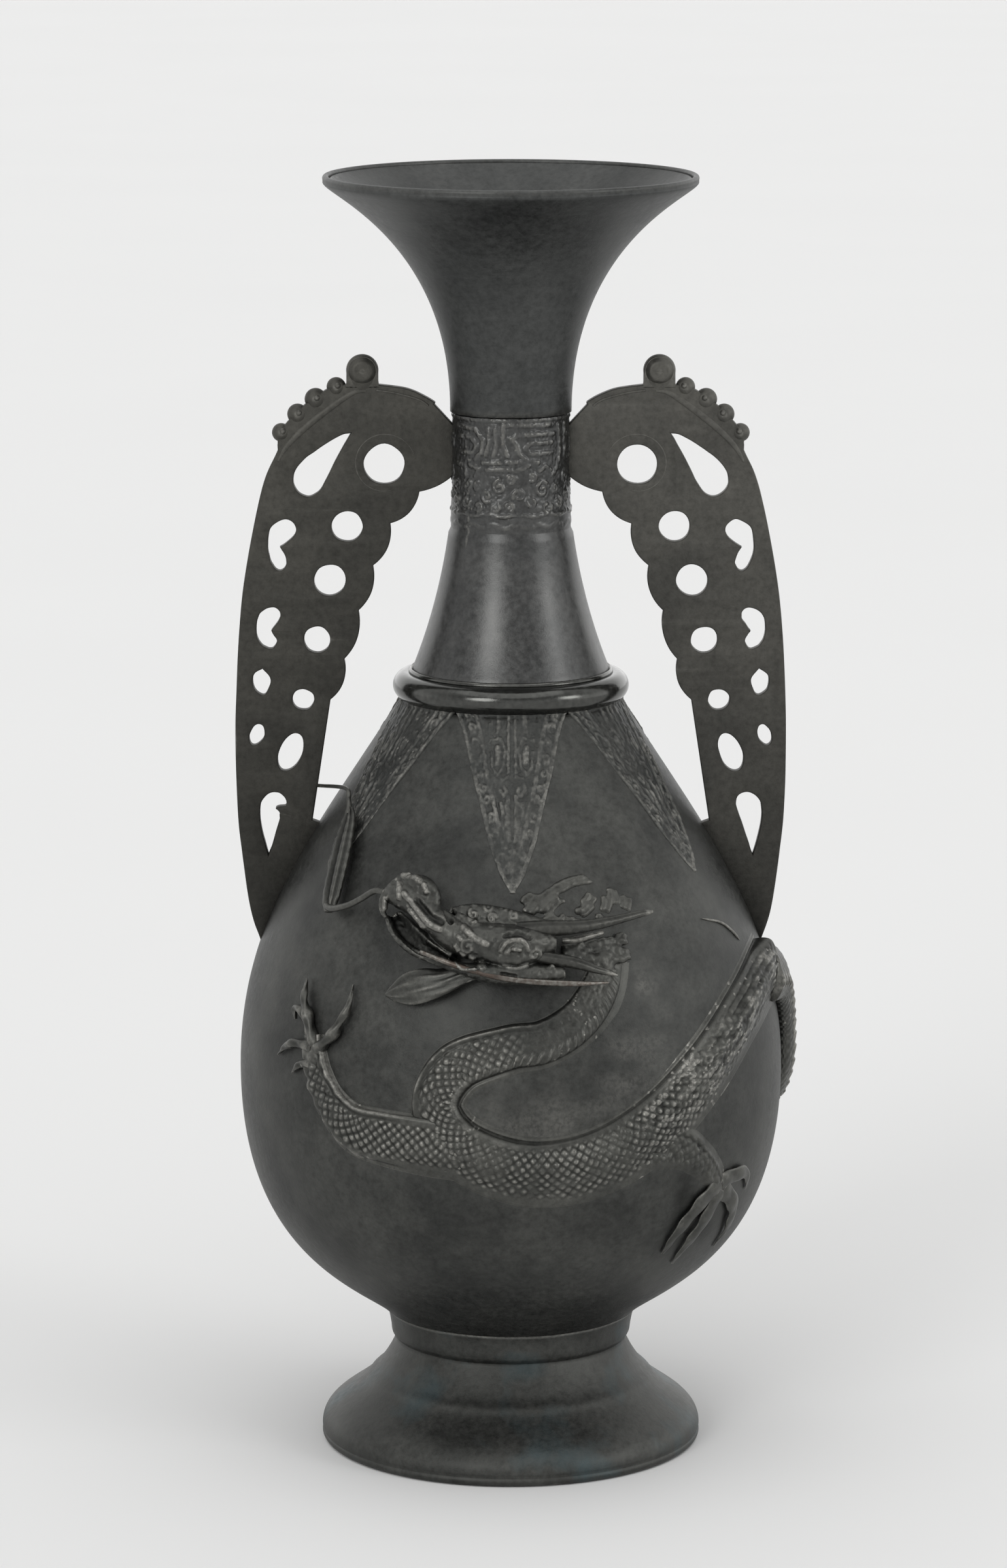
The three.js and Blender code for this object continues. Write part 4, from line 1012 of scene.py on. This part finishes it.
def trunk_lift(run, step, inner, outer, height):
    """Relief and wear of the neck and trunk.

    run is the way along it and step the same in rows of NECK_AND_TRUNK. inner and outer are the
    distances from its two edges. The trunk sinks softly into the body at the outer edge, bears
    scales in the middle, and has a fringe on the neck and combed lines towards the tail.
    """
    half = (inner + outer) / 2
    melt = ease(step, 5.7, 6.5)
    gentle = ease(step, 7.0, 9.5) * (1 - ease(step, 13.0, 14.0))
    slope = 0.2 * ease(inner, 0.0, 0.5) + 0.8 * ease(inner, 0.3, 6.5)
    near = shoulder(inner, 2.8) * (1 - gentle) + slope * gentle
    rise = near * (shoulder(outer, 1.5) * (1 - melt) + ease(outer, -0.5, 1.25 * half) * melt)
    patch = 0.7 + 0.6 * smooth_noise(run / 13, inner / 8, 41) + 0.6 * smooth_noise(run / 1.7, inner / 1.7, 42)
    cover = ease(step, 3.2, 4.6) * (1 - 0.75 * ease(step, 10.0, 12.3))
    cover = cover * ease(inner, 0.9, 2.2) * ease(outer, 1.2, 3.4)
    scale = scales(run, inner, TRUNK_SCALE)
    lip = bell(inner, 1.4, 0.8) * ease(step, 4.4, 5.4) * (1 - ease(step, 7.4, 8.6))
    cover = cover * (1 - lip)
    rim = (1 - ease(step, 5.7, 6.3)) * ease(step, 2.4, 4.0)
    edge = 0.4 * rim * (bell(outer, 0.7, 0.55) - 0.8 * bell(outer, 2.0, 0.5))
    hair = np.clip(np.sin(2 * math.pi * (run + 0.6 * inner) / 2.3), 0, 1)
    fringe = 0.4 * hair * ease(inner, 0.0, 0.9) * (1 - ease(inner, 2.2, 4.2)) * ease(step, 0.3, 1.0)
    fringe = fringe * (1 - ease(step, 4.4, 5.4))
    comb = smooth_noise(run / 3.4, inner / 0.75, 9) * ease(step, 8.8, 10.5)
    comb = comb * ease(inner, 1, 2.5) * ease(outer, 0, 6)
    cuts = sum(bell(inner, at, 0.32) for at in (1.9, 3.5, 5.1))
    cuts = cuts * ease(step, 11.7, 12) * (1 - ease(step, 13.2, 13.5))
    pushed = 0.3 * bell(inner, -1.0, 0.45) * ease(step, 3.6, 4.6)
    ground = 0.1 * (1 - ease(-inner, 0.6, 2.2)) * (1 - melt * (outer < 0))
    pits = 0.07 * smooth_noise(run / 0.8, inner / 0.8, 3) * rise
    lift = height * rise + 0.5 * cover * (scale - 0.45) + 0.3 * lip + edge + fringe
    lift = lift + 0.3 * comb - 0.4 * cuts * rise
    # The scale tops and the rim line go paler: rubbed wear and painted highlights. The gaps between scales
    # and the groove under the rim go darker.
    mark = (2.3 * cover * (scale - 0.36) + 1.3 * fringe + 1.1 * comb) * patch
    mark = mark + 2.0 * edge * patch - 0.8 * cuts
    # The dark line where inner is 0 is painted shadow in the gap along the trunk's upper edge.
    mark = mark + 0.5 * lip * patch + 0.6 * pushed - 0.9 * bell(inner, 0.0, 0.35) * ease(step, 2.6, 4.0)
    return lift + pushed + ground + pits, mark


def scaled_limb(pitch, height, bare):
    """Scales round a limb, fading where it gets thin."""
    def relief(run, a, reach):
        strength = ease(reach, bare, 2 * bare)
        spine = np.clip(bell(a, 1.15, 0.22) + bell(a, 1.15 + 2 * math.pi, 0.22), 0, 1)
        fins = 0.9 * spine * (0.35 + 0.65 * (1 - (run / 4.2) % 1)) * ease(reach, 0.8, 3)
        return height * strength * (scales(run, a * 5.2, pitch) - 0.45) * (1 - spine) + fins
    return relief


def knuckles(run, a, reach):
    return 0.22 * np.sin(run / 1.15) * ease(reach, 0.5, 1.3) + 0.1 * np.sin(3 * a + run)


def arm_lift(run, step, inner, outer, height):
    free = ease(step, 1.2, 2.2)
    rise = (shoulder(inner, 1.8) * free + ease(inner, 0, 6) * (1 - free)) * shoulder(outer, 1.3)
    patch = 0.8 + 0.5 * smooth_noise(run / 12, inner / 8, 43) + 0.6 * smooth_noise(run / 1.7, inner / 1.7, 44)
    scale = scales(run, inner, ARM_SCALE)
    cover = ease(inner, 1.2, 2.6) * ease(outer, 2, 3) * (1 - ease(step, 5, 6))
    rim = (bell(outer, 0.5, 0.55) - 0.8 * bell(outer, 1.9, 0.5)) * free
    fin = np.clip(1 - np.abs((run / 4.6) % 1 - 0.4) / 0.45, 0, 1)
    fin = fin * bell(inner, 0.2, 1.0) * ease(step, 1.8, 2.6)
    lumps = 0.5 * smooth_noise(run / 2.2, inner / 1.8, 12) * ease(step, 3.2, 4.4) * rise
    lift = height * rise + 0.5 * cover * (scale - 0.45) + 0.4 * rim + 0.6 * fin + lumps
    return lift, (2.0 * cover * (scale - 0.38) + 0.8 * fin + 0.9 * lumps) * patch + 0.8 * rim


def shank_lift(run, step, inner, outer, height):
    rise = ease(inner, -0.4, 3.4) * ease(outer, -0.4, 3.4)
    cover = ease(inner, 1.5, 3) * ease(outer, 1.5, 3) * (1 - 0.6 * ease(step, 1.5, 3))
    scale = scales(run, inner, SHANK_SCALE)
    crease = bell(inner, 3.4, 0.5) * ease(step, 0.5, 1) - 0.6 * bell(inner, 4.6, 0.5)
    lumps = 0.35 * smooth_noise(run / 2.4, inner / 1.6, 14) * rise
    lift = height * rise + 0.3 * cover * (scale - 0.45) - 0.25 * crease + lumps
    return lift, 0.5 * cover * (scale - 0.5) - 0.4 * crease + 0.5 * lumps - 0.15


def cord(points, radius, lift=0.2, count=40):
    """A thin raised line, slim at its ends, on the body through places given as angle and level."""
    rings, _ = limb([(angle, level, lift, radius) for angle, level in points], count, 8)
    place = rings.mean(1, keepdims=True)
    slim = np.minimum(1, 0.15 + 6 * np.minimum(np.linspace(0, 1, count), np.linspace(1, 0, count)))
    return place + (rings - place) * slim[:, None, None], 0.7


def dragon_relief():
    trunk = band(NECK_AND_TRUNK, (900, 96), (2.4, 0.6), trunk_lift)
    whisker_line = cord([(54, 49.5), (61.4, 47), (65.2, 44), (67.8, 40.7)], 0.42)
    relief_piece("dragon_scaled_trunk", [trunk, whisker_line], "dragon_body")
    coil = limb(COIL, 420, 96, scaled_limb(COIL_SCALE, 0.25, 0.9))
    relief_piece("dragon_scaled_coil", [coil], "dragon_tail")
    arm = [band(FORE_ARM, (230, 64), (1.6, 1.2), arm_lift)]
    arm += [limb(claw, 60, 20, knuckles) for claw in FORE_CLAWS]
    relief_piece("dragon_scaled_foreleg", arm, "dragon_foreleg")
    shank = [band(HIND_SHANK, (170, 56), (1.0, 1.0), shank_lift)]
    for claw in HIND_CLAWS:
        rings, mark = limb([(*row[:3], 1.8 * row[3], 0.5 * row[3]) for row in claw], 60, 20, knuckles)
        shank.append((rings, 0.6 * mark - 0.1))
    relief_piece("dragon_scaled_hind_leg", shank, "dragon_hind_leg")


# Head: limbs and balls joined into one skin, then chased with lines seen from the front

SNOUT = [
    (-29.5, 57.0, 6.8, 2.4, 3.2), (-26.5, 57.2, 7.4, 3.8, 4.2), (-21.5, 55.6, 7.8, 4.0, 4.8),
    (-16.5, 51.6, 7.8, 4.0, 5.0), (-11, 48.2, 7.4, 4.7, 5.4), (-4.5, 47.0, 6.8, 5.6, 6.4),
    (3, 46.8, 5.4, 5.2, 6.2), (9, 47.6, 3.6, 3.6, 4.6)]
LOWER_JAW = [
    (-29.0, 52.0, 6.6, 0.8, 1.0), (-26.4, 48.0, 6.6, 1.0, 1.6), (-22.0, 44.6, 6.8, 1.1, 2.0),
    (-17.7, 42.9, 7.0, 1.1, 2.2), (-11, 41.0, 6.8, 1.5, 2.6), (-4, 39.9, 6.4, 2.8, 3.4),
    (4, 39.6, 5.8, 3.0, 3.4), (11, 39.8, 4.4, 2.4, 2.8)]
MOUTH_FLOOR = [
    (-28.0, 53.0, 4.2, 1.8, 1.4), (-23.5, 49.0, 4.4, 3.0, 1.8), (-18, 46.0, 4.6, 2.8, 2.2),
    (-12.5, 43.6, 5.2, 2.0, 2.4)]
NOSE_CURL = [
    (-28.6, 51.4, 8.0, 0.6), (-29.6, 53.0, 8.6, 0.9), (-29.9, 55.6, 9.0, 1.1), (-28.6, 58.6, 9.2, 1.1),
    (-26.2, 60.6, 9.6, 1.2), (-23.4, 61.2, 9.8, 1.0)]
NOSE_TOP = [
    (-27.6, 58.8, 8.2, 1.4), (-24.6, 59.6, 9.2, 2.2), (-21.2, 59.2, 9.6, 3.2), (-18.6, 57.4, 9.4, 3.0),
    (-17.0, 55.0, 8.8, 1.8)]
FOREHEAD = [
    (-14.5, 54.7, 3.2, 1.8, 2.0), (-9, 54.3, 3.8, 3.4, 2.8), (-2, 53.0, 4.2, 3.8, 3.0),
    (5, 51.6, 3.8, 3.2, 2.8), (10, 51.4, 3, 1.8, 1.8)]
BROW = [(-11.8, 53.2, 9.0, 0.9), (-9.6, 51.8, 10.0, 1.2), (-7.0, 50.2, 10.4, 1.3), (-4.8, 48.8, 10.2, 0.9)]
CHEEK = [(-11.6, 48.0, 8.2, 1.5), (-6.4, 45.2, 9.2, 2.2), (-0.6, 43.5, 9.0, 2.5), (6, 44.6, 7.2, 2.2)]
HEAD_BALLS = [
    (1.1, 45.4, 10.8, 1.9), (3.6, 45.6, 10.2, 1.0), (-4.0, 47.4, 10.6, 1.2), (8.4, 41.2, 7.4, 0.9),
    (4.0, 40.3, 8.0, 0.9)]

# Lines of the chasing: x and z in millimetres, half width and height. A curl is x, z, size and start.
HEAD_RIDGES = [
    ([(-28.8, 171.2), (-24.9, 167.4), (-21.9, 164.3), (-19.2, 163.2)], 0.8, 0.9),
    ([(-27.2, 167.2), (-23.5, 163.2)], 0.65, 0.8),
    ([(-12.7, 163.8), (-9.3, 161.3), (-6.6, 160.0)], 0.75, 0.7),
    ([(-22.4, 158.7), (-16.4, 155.1), (-13.0, 152.8), (-9.7, 152.9)], 0.4, 0.6),
    ([(-29.1, 175.4), (-26.8, 175.9), (-24.7, 174.9)], 0.7, 0.8),
    ([(-23.5, 173.9), (-22.8, 172.2)], 0.6, 0.8),
    ([(-30.2, 173.4), (-30.3, 170.1)], 0.65, 0.7),
    ([(-34.1, 169.0), (-34.4, 166.2)], 0.6, 0.8),
    ([(-2.8, 158.2), (-1.3, 160.3), (1.5, 161.0), (3.8, 160.1), (4.6, 158.0)], 0.55, 0.7),
    ([(-1.2, 157.6), (0.4, 158.7), (2.4, 158.4)], 0.45, 0.6),
    ([(-1.9, 154.0), (1.5, 153.2), (4.4, 154.0)], 0.45, 0.5),
    ([(-14.1, 161.6), (-13.6, 161.0)], 0.6, 0.9), ([(-14.9, 159.0), (-14.2, 158.0)], 0.55, 0.8),
    ([(-13.3, 157.0), (-12.6, 156.5)], 0.5, 0.7), ([(-10.9, 156.0), (-10.2, 155.6)], 0.6, 0.8)]
HEAD_CURLS = [
    (-11.6, 158.8, 2.3, 60), (-13.5, 168.8, 1.6, 30), (-9.8, 169.8, 1.7, 200), (-5.9, 168.0, 1.6, 90),
    (-2.2, 168.4, 1.5, 300), (-10.2, 166.0, 1.4, 120), (-5.2, 165.2, 1.4, 10), (0.8, 166.0, 1.4, 60),
    (-7.6, 153.8, 1.2, 90), (6.4, 156.6, 1.6, 0)]
HEAD_GROOVES = [
    ([(-31.4, 165.4), (-28.3, 160.6), (-23.3, 156.8), (-17.6, 154.0)], 1.7, 1.3),
    ([(-18.2, 175.0), (-18.0, 168.7), (-16.2, 165.4)], 0.7, 1.6),
    ([(-25.2, 169.9), (-21.6, 166.2), (-18.8, 165.2)], 0.8, 0.9),
    ([(-27.8, 169.2), (-24.2, 165.2)], 0.3, 0.5),
    ([(-1.8, 162.0), (1.6, 162.6), (5.2, 161.2)], 0.5, 0.6),
    ([(-2.4, 151.8), (1.0, 151.2)], 0.6, 0.7)]


def joined_skin(name, parts, voxel, material):
    """Overlapping shells made into one even skin."""
    rough = shells(name, parts, material)
    remesh = rough.modifiers.new("skin", "REMESH")
    remesh.mode = "VOXEL"
    remesh.voxel_size = voxel * MM
    relax = rough.modifiers.new("relax", "SMOOTH")
    relax.factor = 0.5
    relax.iterations = 3
    bpy.context.view_layer.update()
    skin = bpy.data.meshes.new_from_object(rough.evaluated_get(bpy.context.evaluated_depsgraph_get()))
    rough.modifiers.clear()
    rough.data = skin
    skin.polygons.foreach_set("use_smooth", [True] * len(skin.polygons))
    skin.materials.clear()
    skin.materials.append(material)
    return rough


def chase(piece, ridges, grooves, grain=0.0):
    """Raise and sink lines on the side that faces the front."""
    mesh = piece.data
    count = len(mesh.vertices)
    places, normals = np.empty(3 * count), np.empty(3 * count)
    mesh.vertices.foreach_get("co", places)
    mesh.vertices.foreach_get("normal", normals)
    places, normals = places.reshape(-1, 3) / MM, normals.reshape(-1, 3)
    x, z = places[:, 0], places[:, 2]
    front = ease(-normals[:, 1], 0.0, 0.45)
    move = front * (stroke_height(x, z, ridges) - stroke_height(x, z, grooves))
    move += grain * smooth_noise(x / 0.8, z / 0.8, 31) * front
    places += normals * move[:, None]
    mesh.vertices.foreach_set("co", (places * MM).reshape(-1))
    # Raised lines go towards the rubbed colour; sunk lines go darker, painted shade in the mouth and the
    # grooves.
    mark = mesh.attributes.get("wear_and_painted_light") or mesh.attributes.new("wear_and_painted_light", "FLOAT", "POINT")
    mark.data.foreach_set("value", np.clip(move * 1.2, -1, 0.75))
    mesh.update()


def body_ball(angle, level, lift, radius, steps=18):
    centre = on(angle, level, lift)
    return ball_points(centre, (radius, radius, radius), 0.0, steps), 0.0


def dragon_head():
    limbs = (SNOUT, LOWER_JAW, MOUTH_FLOOR, NOSE_CURL, NOSE_TOP, FOREHEAD, BROW, CHEEK)
    parts = [limb(rows, 60, 28) for rows in limbs]
    parts += [body_ball(*ball) for ball in HEAD_BALLS]
    head = joined_skin("dragon_chased_head", parts, 0.34, relief_bronze)
    curls = [(spiral((x, z), start, 1.2, size, 16), 0.4, 0.4) for x, z, size, start in HEAD_CURLS]
    ridges = [(smooth_rows(line, 6 * len(line)), half, height) for line, half, height in HEAD_RIDGES]
    chase(head, ridges + curls, HEAD_GROOVES, 0.14)
    settle(head, "relief_bronze", "dragon_head")


UPPER_HORN = [
    (1.0, 50.4, 7.0, 2.0), (7.6, 50.4, 7.8, 2.2), (14.1, 50.3, 8.0, 1.9), (20.2, 50.9, 7.8, 1.5),
    (25.8, 51.7, 7.6, 1.2), (30.9, 52.4, 7.2, 0.95), (33.6, 52.5, 7.0, 0.5)]
LOWER_HORN = [
    (2.5, 45.2, 6.6, 1.8), (5.5, 43.9, 7.0, 1.8), (13.3, 42.0, 7.0, 1.6), (18, 40.1, 6.6, 1.1),
    (22.7, 38.4, 5.8, 0.3)]
HORN_LIGHT = [(11.6, 48.1, 3.6, 0.7), (14.6, 48.0, 4.4, 1.0), (17.5, 48.6, 4.4, 0.9), (21.4, 49.4, 3.8, 0.6)]
JAW_WIRE = [
    (-19, 44, 8.8, 0.6), (-14.6, 42.4, 9, 0.8), (-9, 40.5, 9, 0.85), (-2, 38.6, 8.8, 0.85),
    (5, 37.6, 8.2, 0.85), (13, 37.0, 7.2, 0.8), (20.5, 36.8, 5.8, 0.3)]
BEARD = [
    (-3.5, 42.0, 3.0, 1.8, 0.9), (-9.5, 40.2, 3.6, 2.8, 1.2), (-14.5, 37.8, 3.8, 3.7, 1.3),
    (-18.5, 36.6, 3.8, 4.6, 1.3), (-22.2, 35.4, 3.4, 4.4, 1.1), (-25.4, 34.2, 2.8, 2.6, 0.9),
    (-27.6, 33.4, 2.2, 0.5, 0.4)]
NOSE_WIRE = [
    (-29.6, 57.0, 9.4, 0.9), (-33, 57.2, 8.6, 0.9), (-36.6, 55.4, 7.2, 0.9), (-40.2, 53.6, 6.2, 0.9),
    (-44, 52.5, 5.2, 0.95), (-47.2, 52.1, 4.4, 0.95), (-49.4, 52.6, 4.0, 0.9)]
NOSE_STRIP = [
    (-48.4, 51.4, 3.4, 1.6, 1.1), (-49.6, 54.6, 3.2, 2.9, 1.7), (-51.2, 59.6, 3.0, 3.3, 1.9),
    (-54.2, 67.4, 2.8, 3.3, 1.9), (-57.6, 73.6, 2.6, 2.5, 1.5), (-60, 76.6, 2.8, 1.1, 0.9)]
STRIP_TIP = [(-58.8, 75.4, 2.8, 0.8), (-62.4, 78.4, 3.4, 0.7), (-67, 80.4, 4.0, 0.6)]
WIRE_END_LEVEL = 79.8


def wire_end():
    """Where the whisker meets the inner edge of the left handle, as a point and its radius."""
    height = BELLY_HEIGHT + WIRE_END_LEVEL
    heel = radius_at(HANDLE_HEEL_HEIGHT) + 2.45
    top = plot(SCALLOPS[-1])
    edge = np.interp(height, [HANDLE_HEEL_HEIGHT, top[1]], [heel, top[0]])
    return (-(edge + 0.2), -1.0, height, 0.5)


def horn_grain(run, a, reach):
    groove = bell(a, 1.9, 0.3) * ease(reach, 0.4, 1.2)
    return 0.05 * smooth_noise(run / 0.9, a / 0.5, 61) * ease(reach, 0.8, 1.6) - 0.28 * groove


def split_strip(run, a, reach):
    grooves = bell(a, 0.5 * math.pi, 0.28) + 0.6 * bell(a, 0.2 * math.pi, 0.2)
    return -0.8 * grooves * ease(reach, 0.6, 0.95) + 0.05 * np.sin(run * 2 + a)


def leaf_veins(run, a, reach):
    folds = np.sin(10 * np.cos(a) + run / 5) + 0.5 * np.sin(17 * np.cos(a) - run / 3)
    return 0.13 * folds * ease(reach, 0.4, 1.6)


def dragon_trimmings():
    horns = ((UPPER_HORN, "upper"), (LOWER_HORN, "lower"))
    for rows, name in horns:
        rings, mark = limb(rows, 150, 26, horn_grain)
        share = np.linspace(0, 1, 150)[:, None]
        # The tip goes towards the rubbed colour, wear and a painted highlight; the root half goes darker.
        tip_polish_and_glint = 0.9 * ease(share, 0.78, 0.95) - 0.4 * (1 - ease(share, 0.5, 0.8))
        relief_piece(f"dragon_grooved_{name}_horn", [(rings, mark + tip_polish_and_glint)], f"dragon_{name}_horn")
    rings, _ = limb(JAW_WIRE, 120, 14)
    share = np.linspace(0, 1, 120)[:, None]
    # Both ends go towards the rubbed colour: rubbed copper and a painted highlight; the middle stays brown.
    worn_and_glint = 0.9 - 0.9 * ease(share, 0.15, 0.3) * (1 - ease(share, 0.42, 0.6))
    wire = shells("dragon_copper_whisker", [(rings, worn_and_glint)], copper_wire)
    settle(wire, "copper_wire", "dragon_right_whisker")
    relief_piece("dragon_leaf_beard", [limb(BEARD, 90, 64, leaf_veins)], "dragon_beard")
    whisker = [limb(NOSE_WIRE, 60, 14), limb(NOSE_STRIP, 110, 40, split_strip)]
    whisker.append(limb(STRIP_TIP, 50, 12, None, [wire_end()]))
    relief_piece("dragon_split_whisker", whisker, "dragon_left_whisker")


TUFTS = 110
MANE = [
    [(5.3, 57.7), (9.3, 61.1), (13.5, 62.7)], [(7.0, 55.7), (10.7, 58.8), (13.2, 59.6)],
    [(5.4, 52.8), (9.6, 54.7), (11.6, 55.2)], [(12.4, 53.2), (13.0, 54.4), (13.5, 55.6)],
    [(14.9, 52.8), (15.5, 54.0), (15.9, 55.0)], [(18.2, 57.5), (20, 59.0), (21.6, 60.4)],
    [(27.3, 61.7), (27.1, 59.6), (26.7, 57.2)], [(22.0, 53.3), (22.6, 54.2), (22.8, 55.0)],
    [(2.5, 58.3), (3.8, 59.8), (6.0, 61.4)], [(16.0, 55.6), (18.4, 56.4), (20.6, 58.0)],
    [(23.2, 55.2), (24.6, 57.2), (25.2, 59.6)], [(29.4, 55.2), (30.4, 57.0), (31.0, 59.4)],
    [(10.6, 61.5), (16, 63.8), (22.1, 64.1)], [(3.0, 55.9), (4.6, 57.6), (5.0, 59.0)]]


def mane():
    """Soft strands above the horns, a bright bar and rough tufts between them."""
    random = np.random.default_rng(17)
    parts = []
    for line in MANE:
        for shift in (0.0, 1.5):
            moved = []
            for angle, level in line:
                moved.append((angle + shift, level - 0.5 * shift + random.uniform(-0.3, 0.3)))
            rings, _ = cord(moved, random.uniform(1.0, 1.3), random.uniform(-0.6, -0.35), 30)
            parts.append((rings, 0.0))
    for _ in range(TUFTS):
        angle = random.uniform(12.5, 29)
        low, high = 44.4 - 0.33 * (angle - 10), 46.8 + 0.12 * (angle - 10)
        level = random.uniform(low, high)
        if angle > 31 - 0.8 * (48 - level):
            continue
        size = random.uniform(0.8, 1.3)
        rows = [(angle - 1.5, level + 0.4, 0.6, 0.5), (angle, level, 1.3, size),
                (angle + 1.5, level - 0.6, 0.7, 0.4)]
        parts.append((limb(rows, 14, 10)[0], 0.0))
    tufts = joined_skin("dragon_mane", parts, 0.4, relief_bronze)
    chase(tufts, [], [], 0.06)
    settle(tufts, "relief_bronze")
    relief_piece("dragon_horn_light", [(limb(HORN_LIGHT, 40, 12)[0], 0.9)])


# Stage

def stage_material(name, colour, rough):
    material = bpy.data.materials.new(name)
    add, link = tree_tools(material)
    output = add("ShaderNodeOutputMaterial")
    shader = add("ShaderNodeBsdfPrincipled", in_Roughness=rough, in_Specular_IOR_Level=0.2)
    cloud = noise_at(add, link, add("ShaderNodeTexCoord").outputs["Object"], 3.0, 2.0)
    tone = ramp(add, link, cloud, [(0.3, colour), (0.7, tuple(0.99 * c for c in colour))])
    link(tone, shader.inputs["Base Color"])
    link(shader.outputs["BSDF"], output.inputs["Surface"])
    return material


def floor_piece():
    size = 9000
    points = [(-size, -size, 0), (size, -size, 0), (size, size, 0), (-size, size, 0)]
    floor = add_mesh("floor", points, [(0, 1, 2, 3)], stage_material("floor", (0.86, 0.86, 0.855), 0.75))


def sun(name, energy, spread, azimuth, elevation):
    data = bpy.data.lights.new(name, "SUN")
    data.energy = energy
    data.angle = math.radians(spread)
    lamp = bpy.data.objects.new(name, data)
    a, e = math.radians(azimuth), math.radians(elevation)
    way = Vector((math.sin(a) * math.cos(e), -math.cos(a) * math.cos(e), math.sin(e)))
    lamp.rotation_euler = way.to_track_quat("Z", "Y").to_euler()
    bpy.context.scene.collection.objects.link(lamp)


# Brightness of the room by height, from straight down to straight up
ROOM_LEVELS = [(0, 0.04), (0.28, 0.04), (0.44, 1), (0.60, 1), (0.74, 0.15), (1, 0.1)]
AMBIENT = 0.55
BACKDROP = (0.875, 0.878, 0.88, 1)
WHITE = (1, 1, 1, 1)


def chosen(add, link, factor, first, second):
    node = add("ShaderNodeMixShader")
    link(factor, node.inputs["Fac"])
    link(first, node.inputs[1])
    link(second, node.inputs[2])
    return node.outputs["Shader"]


def world_light():
    """Even light on the object, a room with a bright band in its gloss and a pale backdrop."""
    world = bpy.data.worlds.new("studio")
    bpy.context.scene.world = world
    add, link = tree_tools(world)
    output = add("ShaderNodeOutputWorld")
    path = add("ShaderNodeLightPath")
    axes = add("ShaderNodeSeparateXYZ")
    link(add("ShaderNodeTexCoord").outputs["Generated"], axes.inputs["Vector"])
    depth = map_range(add, link, axes.outputs["Y"], -0.75, 0.45, 0.22, 0.95)
    side = map_range(add, link, axes.outputs["X"], -1, 1, 0.32, 0.72)
    rise = map_range(add, link, axes.outputs["Z"], -1, 1)
    level = ramp(add, link, rise, [(place, grey(value)) for place, value in ROOM_LEVELS])
    room = add("ShaderNodeBackground", in_Color=WHITE)
    link(maths(add, link, "MULTIPLY_ADD", level, side, depth), room.inputs["Strength"])
    ambient = add("ShaderNodeBackground", in_Color=WHITE, in_Strength=AMBIENT)
    seen = add("ShaderNodeBackground", in_Color=BACKDROP)
    glossy = chosen(
        add, link, path.outputs["Is Glossy Ray"], ambient.outputs["Background"], room.outputs["Background"])
    final = chosen(add, link, path.outputs["Is Camera Ray"], glossy, seen.outputs["Background"])
    link(final, output.inputs["Surface"])


CAMERA_PLACE = (-0.00204, -1.620, 0.4977)
CAMERA_PITCH = 10.788
CAMERA_LENS = 134.78
SENSOR_HEIGHT = 36


def camera():
    data = bpy.data.cameras.new("camera")
    data.sensor_fit = "VERTICAL"
    data.sensor_height = SENSOR_HEIGHT
    data.lens = CAMERA_LENS
    data.clip_end = 100
    eye = bpy.data.objects.new("camera", data)
    eye.location = CAMERA_PLACE
    eye.rotation_euler = (math.radians(90 - CAMERA_PITCH), 0, 0)
    bpy.context.scene.collection.objects.link(eye)
    bpy.context.scene.camera = eye


# The scene

def carry_over(node, material):
    mesh = nodes[node].data
    mesh.materials.clear()
    mesh.materials.append(material)


camera()
world_light()
sun("key", 0.75, 24, -29, 22)
sun("fill", 0.5, 20, 62, 20)
sun("top", 0.9, 70, 0, 72)
floor_piece()

foot_piece()
body_piece()
ring_piece()
neck_piece()
trumpet_piece()
for number in range(LAPPETS):
    lappet_piece(number + 1, FIRST_LAPPET_ANGLE + number * 360 / LAPPETS)
for side in (1, -1):
    handle_piece(side)

dragon_relief()
dragon_head()
dragon_trimmings()
mane()
for node in nodes:
    if "rivet" in node:
        carry_over(node, rivet_bronze)
carry_over("base_plate", dark_bronze)

bpy.context.scene.view_settings.view_transform = "Standard"
